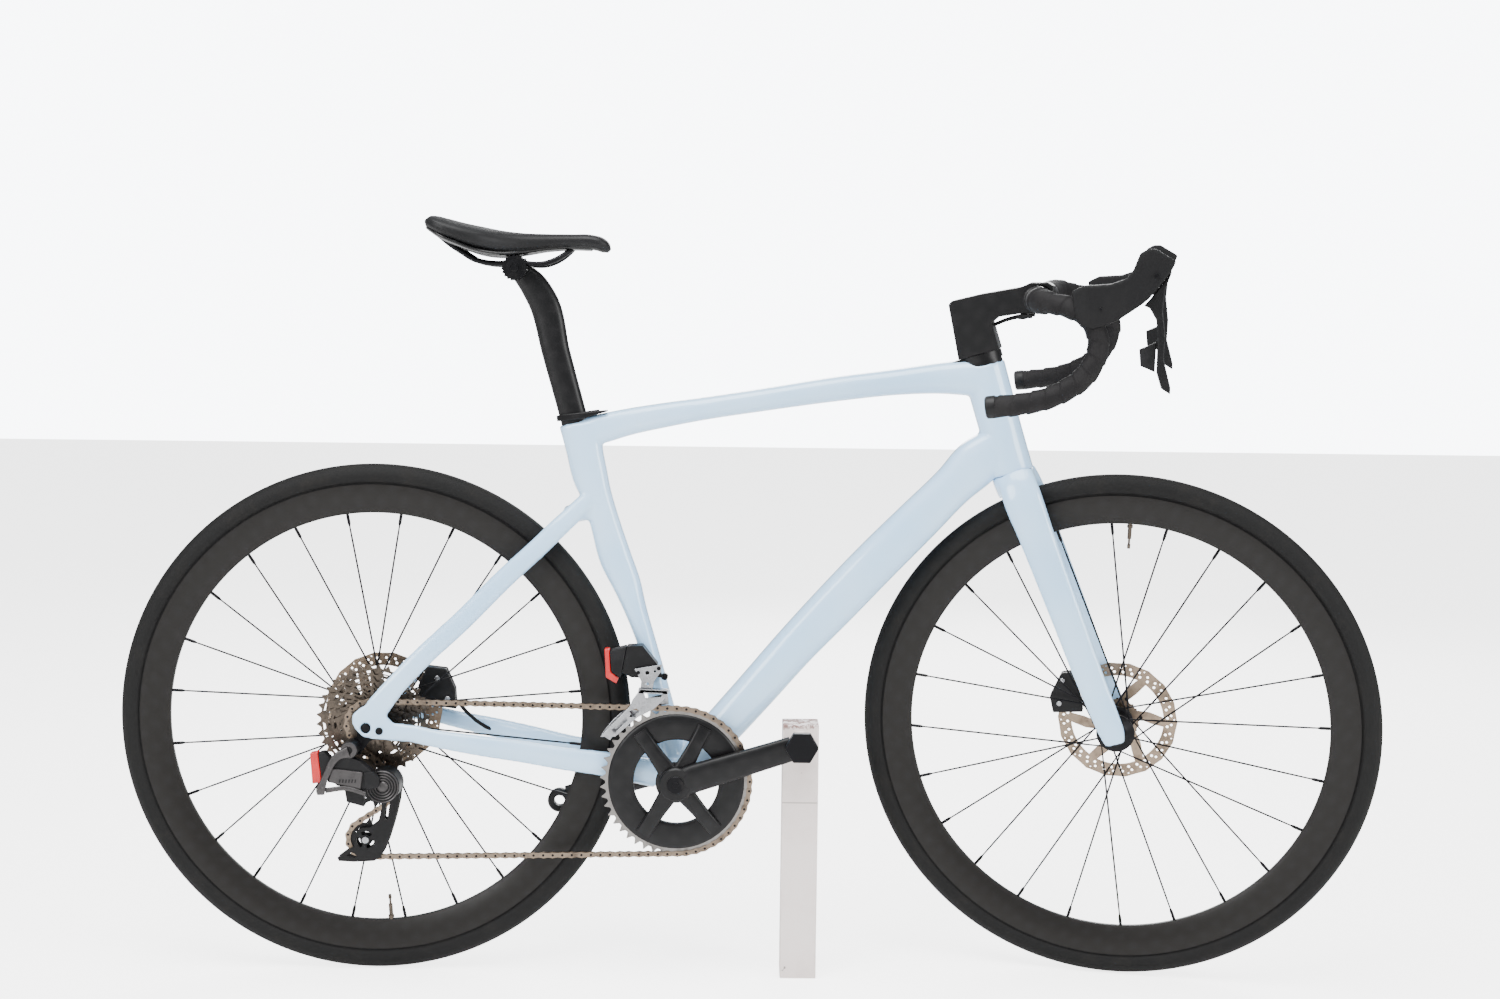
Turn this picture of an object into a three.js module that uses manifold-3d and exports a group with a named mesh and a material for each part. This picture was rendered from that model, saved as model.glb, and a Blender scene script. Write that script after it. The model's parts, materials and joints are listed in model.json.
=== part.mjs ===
// Road bicycle held upright by a square display post that is bolted to its right crank arm.
// Millimetres, +Z up, +X towards the front wheel, +Y towards the rider's left.
// Shapes are laid out in bicycle coordinates: rear axle at X = 0 and Z = AXLE_Z, wheels' plane at Y = 0,
// and the floor a wheel's radius below the axles, which is Z = 0 with the wheels given here.
// At the end everything moves so that the centre of the post's foot is the origin.
import * as THREE from "three";
import { mergeVertices } from "three/addons/utils/BufferGeometryUtils.js";
import Module from "manifold-3d";

const wasm = await Module();
wasm.setup();

// ---------------------------------------------------------------- driving dimensions
const WHEELBASE = 990;
const AXLE_Z = 340; // height of both axles in bicycle coordinates
const WHEEL_R = 340; // over the tyre
const TYRE_R = 14.5; // of the tyre's round section
const TYRE_ABOVE_RIM = 27; // from the rim's outer edge to the tyre's
const RIM_DEPTH = 38;
const HEAD_ANGLE = THREE.MathUtils.degToRad(73.5);
const FORK_OFFSET = 44;
const STEER_ANGLE = THREE.MathUtils.degToRad(-13.16); // handlebar turned to the right at rest
const BB_X = 403;
const BB_Z = 268;
const CRANK_LENGTH = 172.5;
const CRANK_ANGLE = THREE.MathUtils.degToRad(18.1); // right arm above level, pointing forward
const CHAIN_Y = -48;
const CHAIN_PITCH = 12.7;
const BIG_TEETH = 48;
const SMALL_TEETH = 35;
const DRIVEN_TEETH = 15;
const PULLEY_TEETH = 12;
const SPROCKETS = [10, 11, 12, 13, 15, 17, 19, 21, 24, 28, 32, 36];
const SPROCKET_STEP = 3.5;
const POST_SIDE = 48;
const POST_ABOVE_BOLT = 20.41; // from the bolt's centre to the post's top
const POST_FACE_Y = -36; // the post's side that faces the crank arm
const BOLT_HEAD_R = 22; // over the hexagon's corners
const BOLT_HEAD_THICK = 13;
const GAP = 0.3; // between pieces that touch
const FINE = 0.08; // radial clearance of a running fit
const ROUND = 24; // sides of a running shaft
const WHEEL_SIDES = 48;

const RIM_OUTER_R = WHEEL_R - TYRE_ABOVE_RIM;
const FLOOR_Z = AXLE_Z - WHEEL_R;
const POST_X = BB_X + CRANK_LENGTH * Math.cos(CRANK_ANGLE);
const POST_TOP = BB_Z + CRANK_LENGTH * Math.sin(CRANK_ANGLE) + POST_ABOVE_BOLT;
const POST_HEIGHT = POST_TOP - FLOOR_Z;
const ORIGIN = new THREE.Vector3(POST_X, POST_FACE_Y + POST_SIDE / 2, FLOOR_Z);
const STEER_AXIS = new THREE.Vector3(-Math.cos(HEAD_ANGLE), 0, Math.sin(HEAD_ANGLE));
const STEER_FOOT = new THREE.Vector3(
  WHEELBASE - FORK_OFFSET * Math.sin(HEAD_ANGLE),
  0,
  AXLE_Z - FORK_OFFSET * Math.cos(HEAD_ANGLE),
);
// The frame's front end and everything on the fork are drawn for this wheelbase and move with it.
const DRAWN_WHEELBASE = 990;
const FRONT_SHIFT = WHEELBASE - DRAWN_WHEELBASE;
const POST_FRONT_X = POST_X + POST_SIDE / 2;
const HEAD_TUBE_REAR_X = 745;
const pitchRadius = (teeth) => CHAIN_PITCH / (2 * Math.sin(Math.PI / teeth));

// ---------------------------------------------------------------- materials
const PAINT = { color: 0xcfe2f3, roughness: 0.3, metalness: 0.0 };
const CARBON = { color: 0x1d1d1f, roughness: 0.45, metalness: 0.1 };
const BLACK = { color: 0x252527, roughness: 0.6, metalness: 0.1 };
const RUBBER = { color: 0x2a2a2b, roughness: 0.9, metalness: 0.0 };
const STEEL = { color: 0x9a9186, roughness: 0.4, metalness: 1.0 };
const SILVER = { color: 0xb9bcc0, roughness: 0.35, metalness: 1.0 };
const DARK_METAL = { color: 0x3c3c3f, roughness: 0.45, metalness: 0.8 };
const RED = { color: 0xc8141c, roughness: 0.4, metalness: 0.0 };
const WHITE_PAINT = { color: 0xe9e4df, roughness: 0.75, metalness: 0.0 };

// ---------------------------------------------------------------- solid helpers
const bicycle = new THREE.Group();
bicycle.name = "bicycle_on_stand";

// A three.js geometry as a manifold-3d solid, turned right side out when its faces point inwards.
function solid(geometry) {
  const clean = geometry.clone();
  clean.deleteAttribute("normal");
  clean.deleteAttribute("uv");
  const merged = mergeVertices(clean, 1e-4);
  const vertProperties = new Float32Array(merged.attributes.position.array);
  const triVerts = new Uint32Array(merged.index.array);
  const body = new wasm.Manifold(new wasm.Mesh({ numProp: 3, vertProperties, triVerts }));
  if (body.volume() > 0) return body;
  return new wasm.Manifold(
    new wasm.Mesh({ numProp: 3, vertProperties, triVerts: triVerts.reverse() }),
  );
}

function union(parts) {
  return parts.reduce((whole, part) => whole.add(part));
}

function cut(body, tools) {
  return tools.reduce((rest, tool) => rest.subtract(tool), body);
}

// Turns a solid about the steering axis, from straight ahead to the resting angle.
function steered(body) {
  const turn = new THREE.Matrix4().makeRotationAxis(STEER_AXIS, STEER_ANGLE);
  const matrix = new THREE.Matrix4()
    .makeTranslation(STEER_FOOT.x, STEER_FOOT.y, STEER_FOOT.z)
    .multiply(turn)
    .multiply(new THREE.Matrix4().makeTranslation(-STEER_FOOT.x, -STEER_FOOT.y, -STEER_FOOT.z));
  return body.transform(matrix.elements);
}

// Adds a finished solid to the bicycle as one named mesh.
function piece(name, body, look) {
  const data = body.translate([-ORIGIN.x, -ORIGIN.y, -ORIGIN.z]).getMesh();
  const geometry = new THREE.BufferGeometry();
  geometry.setAttribute("position", new THREE.BufferAttribute(data.vertProperties, 3));
  geometry.setIndex(new THREE.BufferAttribute(data.triVerts, 1));
  geometry.computeVertexNormals();
  const mesh = new THREE.Mesh(geometry, new THREE.MeshStandardMaterial(look));
  mesh.name = name;
  bicycle.add(mesh);
}

// A closed 2-D outline from [x, y] corners, wound the way ExtrudeGeometry needs it when there are holes.
function outline(corners, holes = []) {
  const loop = (list) => list.map(([x, y]) => new THREE.Vector2(x, y));
  const rim = loop(corners);
  if (THREE.ShapeUtils.isClockWise(rim)) rim.reverse();
  const shape = new THREE.Shape(rim);
  shape.holes = holes.map((hole) => new THREE.Path(loop(hole)));
  return shape;
}

// A plate whose outline is drawn in side view: corners are [X, Z], and it fills Y from yLow to yHigh.
function sidePlate(corners, yLow, yHigh, holes = []) {
  const geometry = new THREE.ExtrudeGeometry(outline(corners, holes), {
    depth: yHigh - yLow,
    bevelEnabled: false,
  });
  geometry.rotateX(Math.PI / 2);
  geometry.translate(0, yHigh, 0);
  return solid(geometry);
}

function ringCorners(x, z, radius, sides, start = 0) {
  return Array.from({ length: sides }, (_, k) => {
    const angle = start + (k / sides) * 2 * Math.PI;
    return [x + radius * Math.cos(angle), z + radius * Math.sin(angle)];
  });
}

// A round bar along Y at (x, z).
function barY(x, z, radius, yLow, yHigh, sides = ROUND) {
  const geometry = new THREE.CylinderGeometry(radius, radius, yHigh - yLow, sides);
  geometry.translate(x, (yLow + yHigh) / 2, z);
  return solid(geometry);
}

function box(xLow, xHigh, yLow, yHigh, zLow, zHigh) {
  const geometry = new THREE.BoxGeometry(xHigh - xLow, yHigh - yLow, zHigh - zLow);
  geometry.translate((xLow + xHigh) / 2, (yLow + yHigh) / 2, (zLow + zHigh) / 2);
  return solid(geometry);
}

// A turned body about the Y axis through (x, z); profile is a list of [radius, y] that runs
// towards +Y outside.
function turnedY(x, z, profile, sides = ROUND) {
  const points = [...profile, profile[0]].map(([r, y]) => new THREE.Vector2(r, y));
  const geometry = new THREE.LatheGeometry(points, sides);
  geometry.translate(x, 0, z);
  return solid(geometry);
}

// A turned body about the steering axis; profile is a list of [radius, distance up the axis].
function turnedOnSteerer(profile, sides = ROUND) {
  const points = [...profile, profile[0]].map(([r, t]) => new THREE.Vector2(r, t));
  const geometry = new THREE.LatheGeometry(points, sides);
  geometry.rotateX(Math.PI / 2);
  geometry.rotateY(HEAD_ANGLE - Math.PI / 2);
  geometry.translate(STEER_FOOT.x, STEER_FOOT.y, STEER_FOOT.z);
  return solid(geometry);
}

// A rounded unit outline: exponent 2 is an ellipse, larger is boxier.
function roundedUnit(sides, exponent) {
  return Array.from({ length: sides }, (_, k) => {
    const angle = ((k + 0.5) / sides) * 2 * Math.PI;
    const c = Math.cos(angle);
    const s = Math.sin(angle);
    return [
      Math.sign(c) * Math.abs(c) ** (2 / exponent),
      Math.sign(s) * Math.abs(s) ** (2 / exponent),
    ];
  });
}

// A tube through stations { at: [x, y, z], deep, wide }: each section is deep in the side view
// and wide across.
// The section's width lies along the hint direction; grow fattens it evenly.
function loft(stations, options = {}) {
  const { sides = 10, exponent = 2.3, grow = 0, hint = [0, 1, 0] } = options;
  const last = stations.length - 1;
  const geometry = new THREE.ExtrudeGeometry(outline(roundedUnit(sides, exponent)), {
    depth: 1,
    steps: last,
    bevelEnabled: false,
  });
  const centres = stations.map((s) => new THREE.Vector3(...s.at));
  const frames = stations.map((s, k) => {
    const before = centres[Math.max(k - 1, 0)];
    const after = centres[Math.min(k + 1, last)];
    const along = after.clone().sub(before).normalize();
    const across = new THREE.Vector3(...(s.hint ?? hint));
    across.addScaledVector(along, -across.dot(along)).normalize();
    const upright = across.clone().cross(along);
    return { across, upright };
  });
  const position = geometry.attributes.position;
  for (let i = 0; i < position.count; i += 1) {
    const k = Math.round(position.getZ(i) * last);
    const { across, upright } = frames[k];
    const point = centres[k].clone();
    point.addScaledVector(upright, position.getX(i) * (stations[k].deep + grow));
    point.addScaledVector(across, position.getY(i) * (stations[k].wide + grow));
    position.setXYZ(i, point.x, point.y, point.z);
  }
  return solid(geometry);
}

// How far a point of the frame moves forward with the wheelbase: not at all as far as the post, which
// the down tube has to pass over, in full at the head tube, and in proportion between them.
function frontShare(x) {
  const share = (x - POST_FRONT_X) / (HEAD_TUBE_REAR_X - POST_FRONT_X);
  return FRONT_SHIFT * THREE.MathUtils.clamp(share, 0, 1);
}

function stretchedRows(rows) {
  return rows.map(([x, ...rest]) => [x + frontShare(x), ...rest]);
}

// A solid drawn for the drawn wheelbase, at its place in front.
function inFront(body) {
  return body.translate([FRONT_SHIFT, 0, 0]);
}

// Stations from rows [x, y, z, deep, wide]; side = -1 mirrors them to the right-hand side.
function stations(rows, side = 1) {
  return rows.map(([x, y, z, deep, wide]) => ({ at: [x, side * y, z], deep, wide }));
}

// A toothed disc between yLow and yHigh with a round hole if one is given. Two corners draw each tooth;
// one corner per tooth gives a coarser, cheaper edge for discs that nothing runs on.
function toothedDisc(x, z, teeth, yLow, yHigh, options = {}) {
  const { hole = 0, crest = 1.9, root = 3.2, perTooth = 2 } = options;
  const pitch = pitchRadius(teeth);
  const count = 2 * Math.round((teeth * perTooth) / 2);
  const corners = Array.from({ length: count }, (_, k) => {
    const radius = k % 2 === 0 ? pitch + crest : pitch - root;
    const angle = (k / count) * 2 * Math.PI;
    return [x + radius * Math.cos(angle), z + radius * Math.sin(angle)];
  });
  return sidePlate(corners, yLow, yHigh, hole > 0 ? [ringCorners(x, z, hole, ROUND)] : []);
}

// ---------------------------------------------------------------- bores that several pieces share
const SPINDLE_R = 12;
const BEARING_BORE_R = 20.8; // of the shell, for the bearing sleeve
const BB_SHELL_WALL = 3.7;
const BB_RADIUS = BEARING_BORE_R + BB_SHELL_WALL;
const SEATPOST_ROWS = [
  [275.6, 0, 690, 17.4, 10.5],
  [261, 0, 743, 17.4, 10.5],
  [237, 0, 830, 17.4, 10.5],
  [219, 0, 898, 17.0, 10.5],
  [207, 0, 918, 15.5, 11],
  [193, 0, 934, 13, 12],
];
const SEAT_BORE_ROWS = [
  [281.7, 0, 668, 17.4, 10.5],
  [261, 0, 743, 17.4, 10.5],
  [253.3, 0, 771, 17.4, 10.5],
];

const SEAT_TUBE_ROWS = [
  [268, 0, 746, 29, 16],
  [274, 0, 705, 24, 16],
  [284.5, 0, 665, 22.6, 15.5],
  [293, 0, 640, 19.2, 15],
  [303, 0, 608, 19.4, 14.5],
  [319, 0, 556, 21, 14.5],
  [333, 0, 524, 18, 15.5],
  [345, 0, 490, 14, 17],
  [362, 0, 440, 11.5, 18],
  [380, 0, 365, 15, 24],
  [403, 0, 268, 20, 33],
];

function seatTube(grow = 0) {
  return loft(stations(SEAT_TUBE_ROWS), { sides: 12, grow });
}

function seatBore() {
  return loft(stations(SEAT_BORE_ROWS), { sides: 16, grow: GAP });
}

function bottomBracketShell(grow = 0) {
  return barY(BB_X, BB_Z, BB_RADIUS + grow, -43 - grow, 43 + grow, 32);
}

// ---------------------------------------------------------------- frame
const CROWN_TOP = 365;
const HEAD_LOW = 365.6;
const HEAD_TOP = 518.3;
const COVER_TOP = 528.2;
const onSteerer = (t, forward = 0) => [
  STEER_FOOT.x + STEER_AXIS.x * t + forward * STEER_AXIS.z,
  0,
  STEER_FOOT.z + STEER_AXIS.z * t - forward * STEER_AXIS.x,
];
const LOWER_SEAT_R = 24.3;
const UPPER_SEAT_R = 20.3;

function headTube() {
  const rows = [
    { at: onSteerer(HEAD_LOW, 0), deep: 27.5, wide: 27 },
    { at: onSteerer(410, 0), deep: 27.5, wide: 26 },
    { at: onSteerer(470, 0.5), deep: 28, wide: 23.5 },
    { at: onSteerer(HEAD_TOP, 0.5), deep: 28, wide: 23.5 },
  ];
  return loft(rows, { sides: 16, exponent: 2.1 });
}

function topTube() {
  const rows = [
    [272, 0, 722, 20, 13],
    [330, 0, 738.5, 17, 15],
    [386, 0, 749, 15.6, 16.5],
    [430, 0, 757, 14.4, 18],
    [509, 0, 769.5, 14.3, 19],
    [614, 0, 786, 15.6, 20],
    [692, 0, 796, 17, 21],
    [745, 0, 801.5, 20, 22],
    [795, 0, 803, 24, 22],
  ];
  return loft(stations(stretchedRows(rows)), { sides: 12, exponent: 2.6 });
}

function downTube() {
  const rows = [
    [820, 0, 716, 26, 23],
    [798, 0, 694, 31, 23],
    [765.6, 0, 659.6, 26.5, 22],
    [720, 0, 615, 28.5, 22],
    [664.6, 0, 558, 29.5, 22],
    [610, 0, 498, 29, 22.5],
    [558.7, 0, 442.6, 27, 23],
    [504, 0, 379, 25.5, 25],
    [450, 0, 318, 24, 29],
    [410, 0, 275, 20, 33],
  ];
  return loft(stations(stretchedRows(rows)), { sides: 12, exponent: 2.6 });
}

function steererBore() {
  return turnedOnSteerer(
    [
      [0, HEAD_LOW - 5],
      [LOWER_SEAT_R, HEAD_LOW - 5],
      [LOWER_SEAT_R, HEAD_LOW + 9],
      [UPPER_SEAT_R, HEAD_LOW + 12],
      [UPPER_SEAT_R, HEAD_TOP + 5],
      [0, HEAD_TOP + 5],
    ],
    32,
  );
}

// Everything above the V-shaped line that the headset cover is let into, raised by lift.
function aboveHeadLine(lift) {
  const corners = [
    [735, 823.8 + lift],
    [757.5, 823.8 + lift],
    [779, 818 + lift],
    [850, 839 + lift],
    [850, 900],
    [735, 900],
  ];
  return inFront(sidePlate(corners, -60, 60));
}

// A thick disc across the steering axis that clears everything between two heights on it.
function slabOnSteerer(low, high) {
  return turnedOnSteerer([[0, low], [70, low], [70, high], [0, high]], 16);
}

function frontTriangle() {
  const tubes = union([headTube(), topTube(), downTube(), seatTube(), bottomBracketShell()]);
  const bearingBore = barY(BB_X, BB_Z, BEARING_BORE_R, -60, 60, 32);
  const tools = [seatBore(), bearingBore, steererBore(), slabOnSteerer(320, HEAD_LOW), aboveHeadLine(0)];
  piece("front_triangle", cut(tubes, tools), PAINT);
}

const AXLE_R = 6;
const RIGHT_DROPOUT = [-79.5, -73.5];
const LEFT_DROPOUT = [71.3, 79.5];
const DROPOUT_CORNERS = [
  [-17, 346],
  [-10, 333],
  [-1, 327],
  [19, 325.5],
  [36, 325],
  [36, 347],
  [24, 357],
  [22, 372],
  [2, 374],
  [-17, 357],
];

function dropout([yLow, yHigh], grow = 0) {
  const centre = [8, 348];
  const corners = DROPOUT_CORNERS.map(([x, z]) => {
    const reach = Math.hypot(x - centre[0], z - centre[1]);
    return [x + ((x - centre[0]) / reach) * grow, z + ((z - centre[1]) / reach) * grow];
  });
  return sidePlate(corners, yLow - grow, yHigh + grow);
}

function seatStays() {
  const rows = [
    [284, 7, 637, 12, 8],
    [262, 15, 616, 12, 8],
    [240, 25, 595, 12.3, 7.5],
    [226, 29, 581, 12.3, 7.5],
    [174, 44, 532, 12.8, 7],
    [122, 57, 479, 13, 6.5],
    [70, 69, 430, 13, 6],
    [35, 75, 392, 13.5, 5],
    [12, 76, 362, 15, 4.2],
  ];
  const bridge = box(256, 290, -20, 20, 606, 632);
  const tube = (side) => loft(stations(rows, side), { sides: 8 });
  const both = union([tube(1), tube(-1), bridge]);
  const tools = [seatTube(GAP), dropout(LEFT_DROPOUT, GAP + 0.2), dropout(RIGHT_DROPOUT, GAP + 0.2)];
  piece("seat_stays", cut(both, tools), PAINT);
}

function chainStays() {
  const rows = [
    [20, 75.6, 336.5, 10.8, 4.1],
    [60, 74.5, 333, 10.8, 5],
    [86, 72, 327, 11, 6],
    [148, 63.5, 315.5, 13, 7],
    [201, 52, 306, 14, 7],
    [253, 42.5, 295.5, 14.5, 7.5],
    [305, 32, 287, 16, 8],
    [335, 28.5, 281, 17, 8.5],
    [376, 26, 273, 18, 10],
  ];
  const bridge = box(352, 378, -22, 22, 262, 286);
  const tube = (side) => loft(stations(rows, side), { sides: 8 });
  const both = union([
    tube(1),
    tube(-1),
    dropout(LEFT_DROPOUT),
    dropout(RIGHT_DROPOUT),
    bridge,
  ]);
  const tools = [
    barY(0, AXLE_Z, AXLE_R + GAP, -90, 90),
    barY(18, 337, 4.6, -90, -60, 16),
    box(-40, 45, -73.3, -60, 300, 385),
    box(-40, 45, 60, 71.2, 300, 385),
    bottomBracketShell(GAP),
    seatTube(GAP),
  ];
  piece("chain_stays", cut(both, tools), PAINT);
}

function seatClampCover() {
  const rows = [
    [267.92, 0, 746.8, 29, 15],
    [267.3, 0, 750.6, 28.5, 14.2],
  ];
  piece("seat_clamp_cover", loft(stations(rows), { sides: 16 }).subtract(seatBore()), CARBON);
}

function headset() {
  const ring = loft(
    [
      { at: onSteerer(500, 0.5), deep: 28, wide: 22.5 },
      { at: onSteerer(545, 0.5), deep: 28, wide: 22.5 },
    ],
    { sides: 20, exponent: 2.1 },
  );
  const tail = inFront(sidePlate([[756, 815], [800, 815], [800, 840], [770, 829], [758, 825.2]], -13, 13));
  const cover = ring.add(tail).intersect(aboveHeadLine(GAP)).subtract(slabOnSteerer(COVER_TOP, 600));
  const bore = turnedOnSteerer([[0, 500], [14.7, 500], [14.7, 560], [0, 560]]);
  piece("headset_cover", cut(cover, [bore]), CARBON);
  const upper = [[14.39, 508], [UPPER_SEAT_R - GAP, 508], [UPPER_SEAT_R - GAP, 516], [14.39, 516]];
  piece("headset_bearing_upper", turnedOnSteerer(upper, 32), STEEL);
  const lower = [[19.1, 366.2], [LOWER_SEAT_R - GAP, 366.2], [LOWER_SEAT_R - GAP, 373.5], [19.1, 373.5]];
  piece("headset_bearing_lower", turnedOnSteerer(lower, 32), STEEL);
}

function bottomBracket() {
  const profile = [
    [SPINDLE_R + 0.09, -46],
    [BEARING_BORE_R - 0.4, -46],
    [BEARING_BORE_R - 0.4, 46],
    [SPINDLE_R + 0.09, 46],
  ];
  piece("bottom_bracket", turnedY(BB_X, BB_Z, profile, 32), DARK_METAL);
}

const KNUCKLE = [-18, 315];

function derailleurHanger() {
  const leg = sidePlate(
    [
      [-12, 343],
      [-12, 328],
      [-27, 322],
      [-29, 311],
      [-20, 303],
      [-8, 305],
      [4, 322],
      [22, 329],
      [27, 337],
      [22, 345],
      [8, 353],
      [-5, 352],
    ],
    -73,
    -71.2,
  );
  const tail = barY(KNUCKLE[0], KNUCKLE[1], 11, -79.5, -71.2);
  const tools = [
    barY(0, AXLE_Z, AXLE_R + GAP, -90, 90),
    barY(18, 337, 4.2, -90, -60, 16),
    dropout(RIGHT_DROPOUT, GAP),
  ];
  piece("derailleur_hanger", cut(union([leg, tail]), tools), DARK_METAL);
}

// A through-axle with a larger head at one end.
function throughAxle(name, x, yLow, yHigh, headSide, move = (body) => body) {
  const head = headSide > 0 ? [yHigh, yHigh + 5] : [yLow - 5, yLow];
  const shaft = barY(x, AXLE_Z, AXLE_R, yLow, yHigh);
  const cap = barY(x, AXLE_Z, 9.5, head[0], head[1]);
  piece(name, move(union([shaft, cap])), CARBON);
}

// ---------------------------------------------------------------- brakes
const ROTOR_R = 80;
const ROTOR_HALF = 0.9;
const REAR_ROTOR_Y = 55;
const FRONT_ROTOR_Y = 39;

function rotor(x, y) {
  const arms = 6;
  const windows = Array.from({ length: arms }, (_, k) => {
    const start = (k / arms) * 2 * Math.PI + 0.12;
    const end = ((k + 1) / arms) * 2 * Math.PI - 0.12;
    const inner = [start + 0.28, end - 0.02].map((a) => [x + 27 * Math.cos(a), AXLE_Z + 27 * Math.sin(a)]);
    const outer = [end, (start + end) / 2, start].map((a) => [
      x + 62 * Math.cos(a),
      AXLE_Z + 62 * Math.sin(a),
    ]);
    return [...inner, ...outer];
  });
  const holes = [ringCorners(x, AXLE_Z, 17.6, ROUND), ...windows];
  return sidePlate(ringCorners(x, AXLE_Z, ROTOR_R, 40), y - ROTOR_HALF, y + ROTOR_HALF, holes);
}

function caliper(corners, yLow, yHigh, x, rotorY) {
  const block = sidePlate(corners, yLow, yHigh);
  const slot = barY(x, AXLE_Z, ROTOR_R + 3, rotorY - 1.7, rotorY + 1.7, 32);
  return block.subtract(slot);
}

function rearCaliper() {
  const corners = [[50, 350], [100, 344], [98, 372], [86, 399], [60, 402], [48, 376]];
  piece("rear_brake_caliper", caliper(corners, 43, 61, 0, REAR_ROTOR_Y), CARBON);
  const hose = loft(
    [
      { at: [102.2, 50, 352], deep: 2.6, wide: 2.6 },
      { at: [112, 50, 340], deep: 2.6, wide: 2.6 },
      { at: [126, 51, 327], deep: 2.6, wide: 2.6 },
      { at: [138, 54.5, 318], deep: 2.6, wide: 2.6 },
      { at: [147, 60, 313], deep: 2.6, wide: 2.6 },
    ],
    { sides: 8, exponent: 2 },
  );
  const stay = loft(
    stations([
      [86, 72, 327, 11, 6],
      [148, 63.5, 315.5, 13, 7],
      [201, 52, 306, 14, 7],
    ]),
    { grow: GAP },
  );
  piece("rear_brake_hose", hose.subtract(stay), RUBBER);
}

// ---------------------------------------------------------------- gears on the frame
const OUT_PLATE = [-55, -53.6];
const IN_PLATE = [-42.6, -41.4];

function arcBand(rInner, rOuter, startDeg, endDeg, steps, yRange, z = BB_Z, x = BB_X) {
  const arc = (radius, from, to) =>
    Array.from({ length: steps + 1 }, (_, k) => {
      const angle = THREE.MathUtils.degToRad(from + ((to - from) * k) / steps);
      return [x + radius * Math.cos(angle), z + radius * Math.sin(angle)];
    });
  return sidePlate([...arc(rOuter, startDeg, endDeg), ...arc(rInner, endDeg, startDeg)], ...yRange);
}

function frontDerailleur() {
  const cage = union([
    arcBand(102, 117, 96, 150, 9, OUT_PLATE),
    arcBand(103, 117, 96, 150, 9, IN_PLATE),
    arcBand(112, 117, 96, 108, 2, [OUT_PLATE[0], IN_PLATE[1]]),
    arcBand(103, 117, 146, 150, 1, [OUT_PLATE[0], IN_PLATE[1]]),
    sidePlate([[352, 384], [388, 384], [384, 402], [360, 404]], -36, -26),
    sidePlate([[358, 384], [386, 384], [386, 389], [358, 387]], -44, -26),
    sidePlate([[360, 380], [388, 382], [386, 388], [362, 387]], -50, -41.4),
  ]);
  piece("front_mech_cage", cage, SILVER);
  const body = sidePlate([[372, 389], [377, 422], [357, 447], [337, 446], [331, 411]], -44, -21);
  const link = sidePlate([[352, 404.4], [384, 403], [377, 421], [356, 421]], -36, -26);
  const cageRoom = sidePlate([[340, 370], [392, 370], [392, 403.6], [340, 405]], -60, -20);
  const clear = [seatTube(GAP + 0.2), cageRoom];
  piece("front_mech_body", cut(union([body, link]), clear), CARBON);
  const battery = sidePlate([[336.6, 446], [330.6, 411], [327, 404], [316, 412], [314, 440]], -44, -23);
  piece("front_mech_battery", battery, CARBON);
  const latch = [[313.6, 442], [315.6, 411.5], [326, 403.4], [323, 396], [309, 404], [307, 442]];
  piece("front_mech_latch", sidePlate(latch, -42, -26), RED);
}

const GUIDE = [11, 256];
const TENSION = [-5, 187];

function rearDerailleur() {
  const knuckle = barY(KNUCKLE[0], KNUCKLE[1], 11, -97, -79.8);
  const linkCorners = [
    [-28, 312], [-14, 304], [-4, 300], [16, 284], [12, 262], [-34, 268], [-42, 276], [-40, 300],
  ];
  const link = sidePlate(linkCorners, -95, -82);
  const drum = barY(24, 266, 22, -90, -57);
  const clip = sidePlate([[-25, 264], [0, 264], [0, 240], [-22, 246]], -92, -78);
  piece("rear_mech_body", union([knuckle, link, drum, clip]), BLACK);
  const battery = sidePlate([[-40.6, 302], [-42.6, 276], [-53, 272], [-58, 311], [-50, 312]], -97, -80);
  piece("rear_mech_battery", battery, CARBON);
  const latch = sidePlate([[-58.5, 312], [-53.5, 271.5], [-66, 270], [-69, 310]], -95, -82);
  piece("rear_mech_latch", latch, RED);
  const cageCorners = [
    [GUIDE[0] + 14, GUIDE[1] + 4],
    [GUIDE[0] + 6, GUIDE[1] + 13],
    [GUIDE[0] - 8, GUIDE[1] + 11],
    [GUIDE[0] - 12, GUIDE[1] - 4],
    [-10, 214],
    [-22, 192],
    [-24, 176],
    [-42, 164],
    [-38, 159],
    [6, 160],
    [18, 184],
    [24, 220],
  ];
  const bores = (grow) => [GUIDE, TENSION].map(([x, z]) => barY(x, z, 3 + grow, -60, -40, ROUND));
  const outer = union([
    sidePlate(cageCorners, -56.7, -54.5),
    ...[GUIDE, TENSION].map(([x, z]) => barY(x, z, 3, -56.7, -41.9, ROUND)),
  ]);
  piece("rear_mech_cage_outer", outer, BLACK);
  const inner = sidePlate(cageCorners, -43.6, -41.4);
  piece("rear_mech_cage_inner", cut(inner, bores(GAP)), BLACK);
}

// ---------------------------------------------------------------- chain
const CHAIN_HALF_HEIGHT = 4.1;
const CHAIN_HALF_WIDTH = 2.65;
const CHAIN_SLOT_HALF = 1.3;
const CHAIN_SLOT_DEPTH = 2.5;
const CHAIN_WHEELS = [
  { x: BB_X, z: BB_Z, r: pitchRadius(BIG_TEETH), turn: 1, step: 9 },
  { x: 0, z: AXLE_Z, r: pitchRadius(DRIVEN_TEETH), turn: 1, step: 15 },
  { x: GUIDE[0], z: GUIDE[1], r: pitchRadius(PULLEY_TEETH), turn: -1, step: 15 },
  { x: TENSION[0], z: TENSION[1], r: pitchRadius(PULLEY_TEETH), turn: 1, step: 15 },
];

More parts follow.
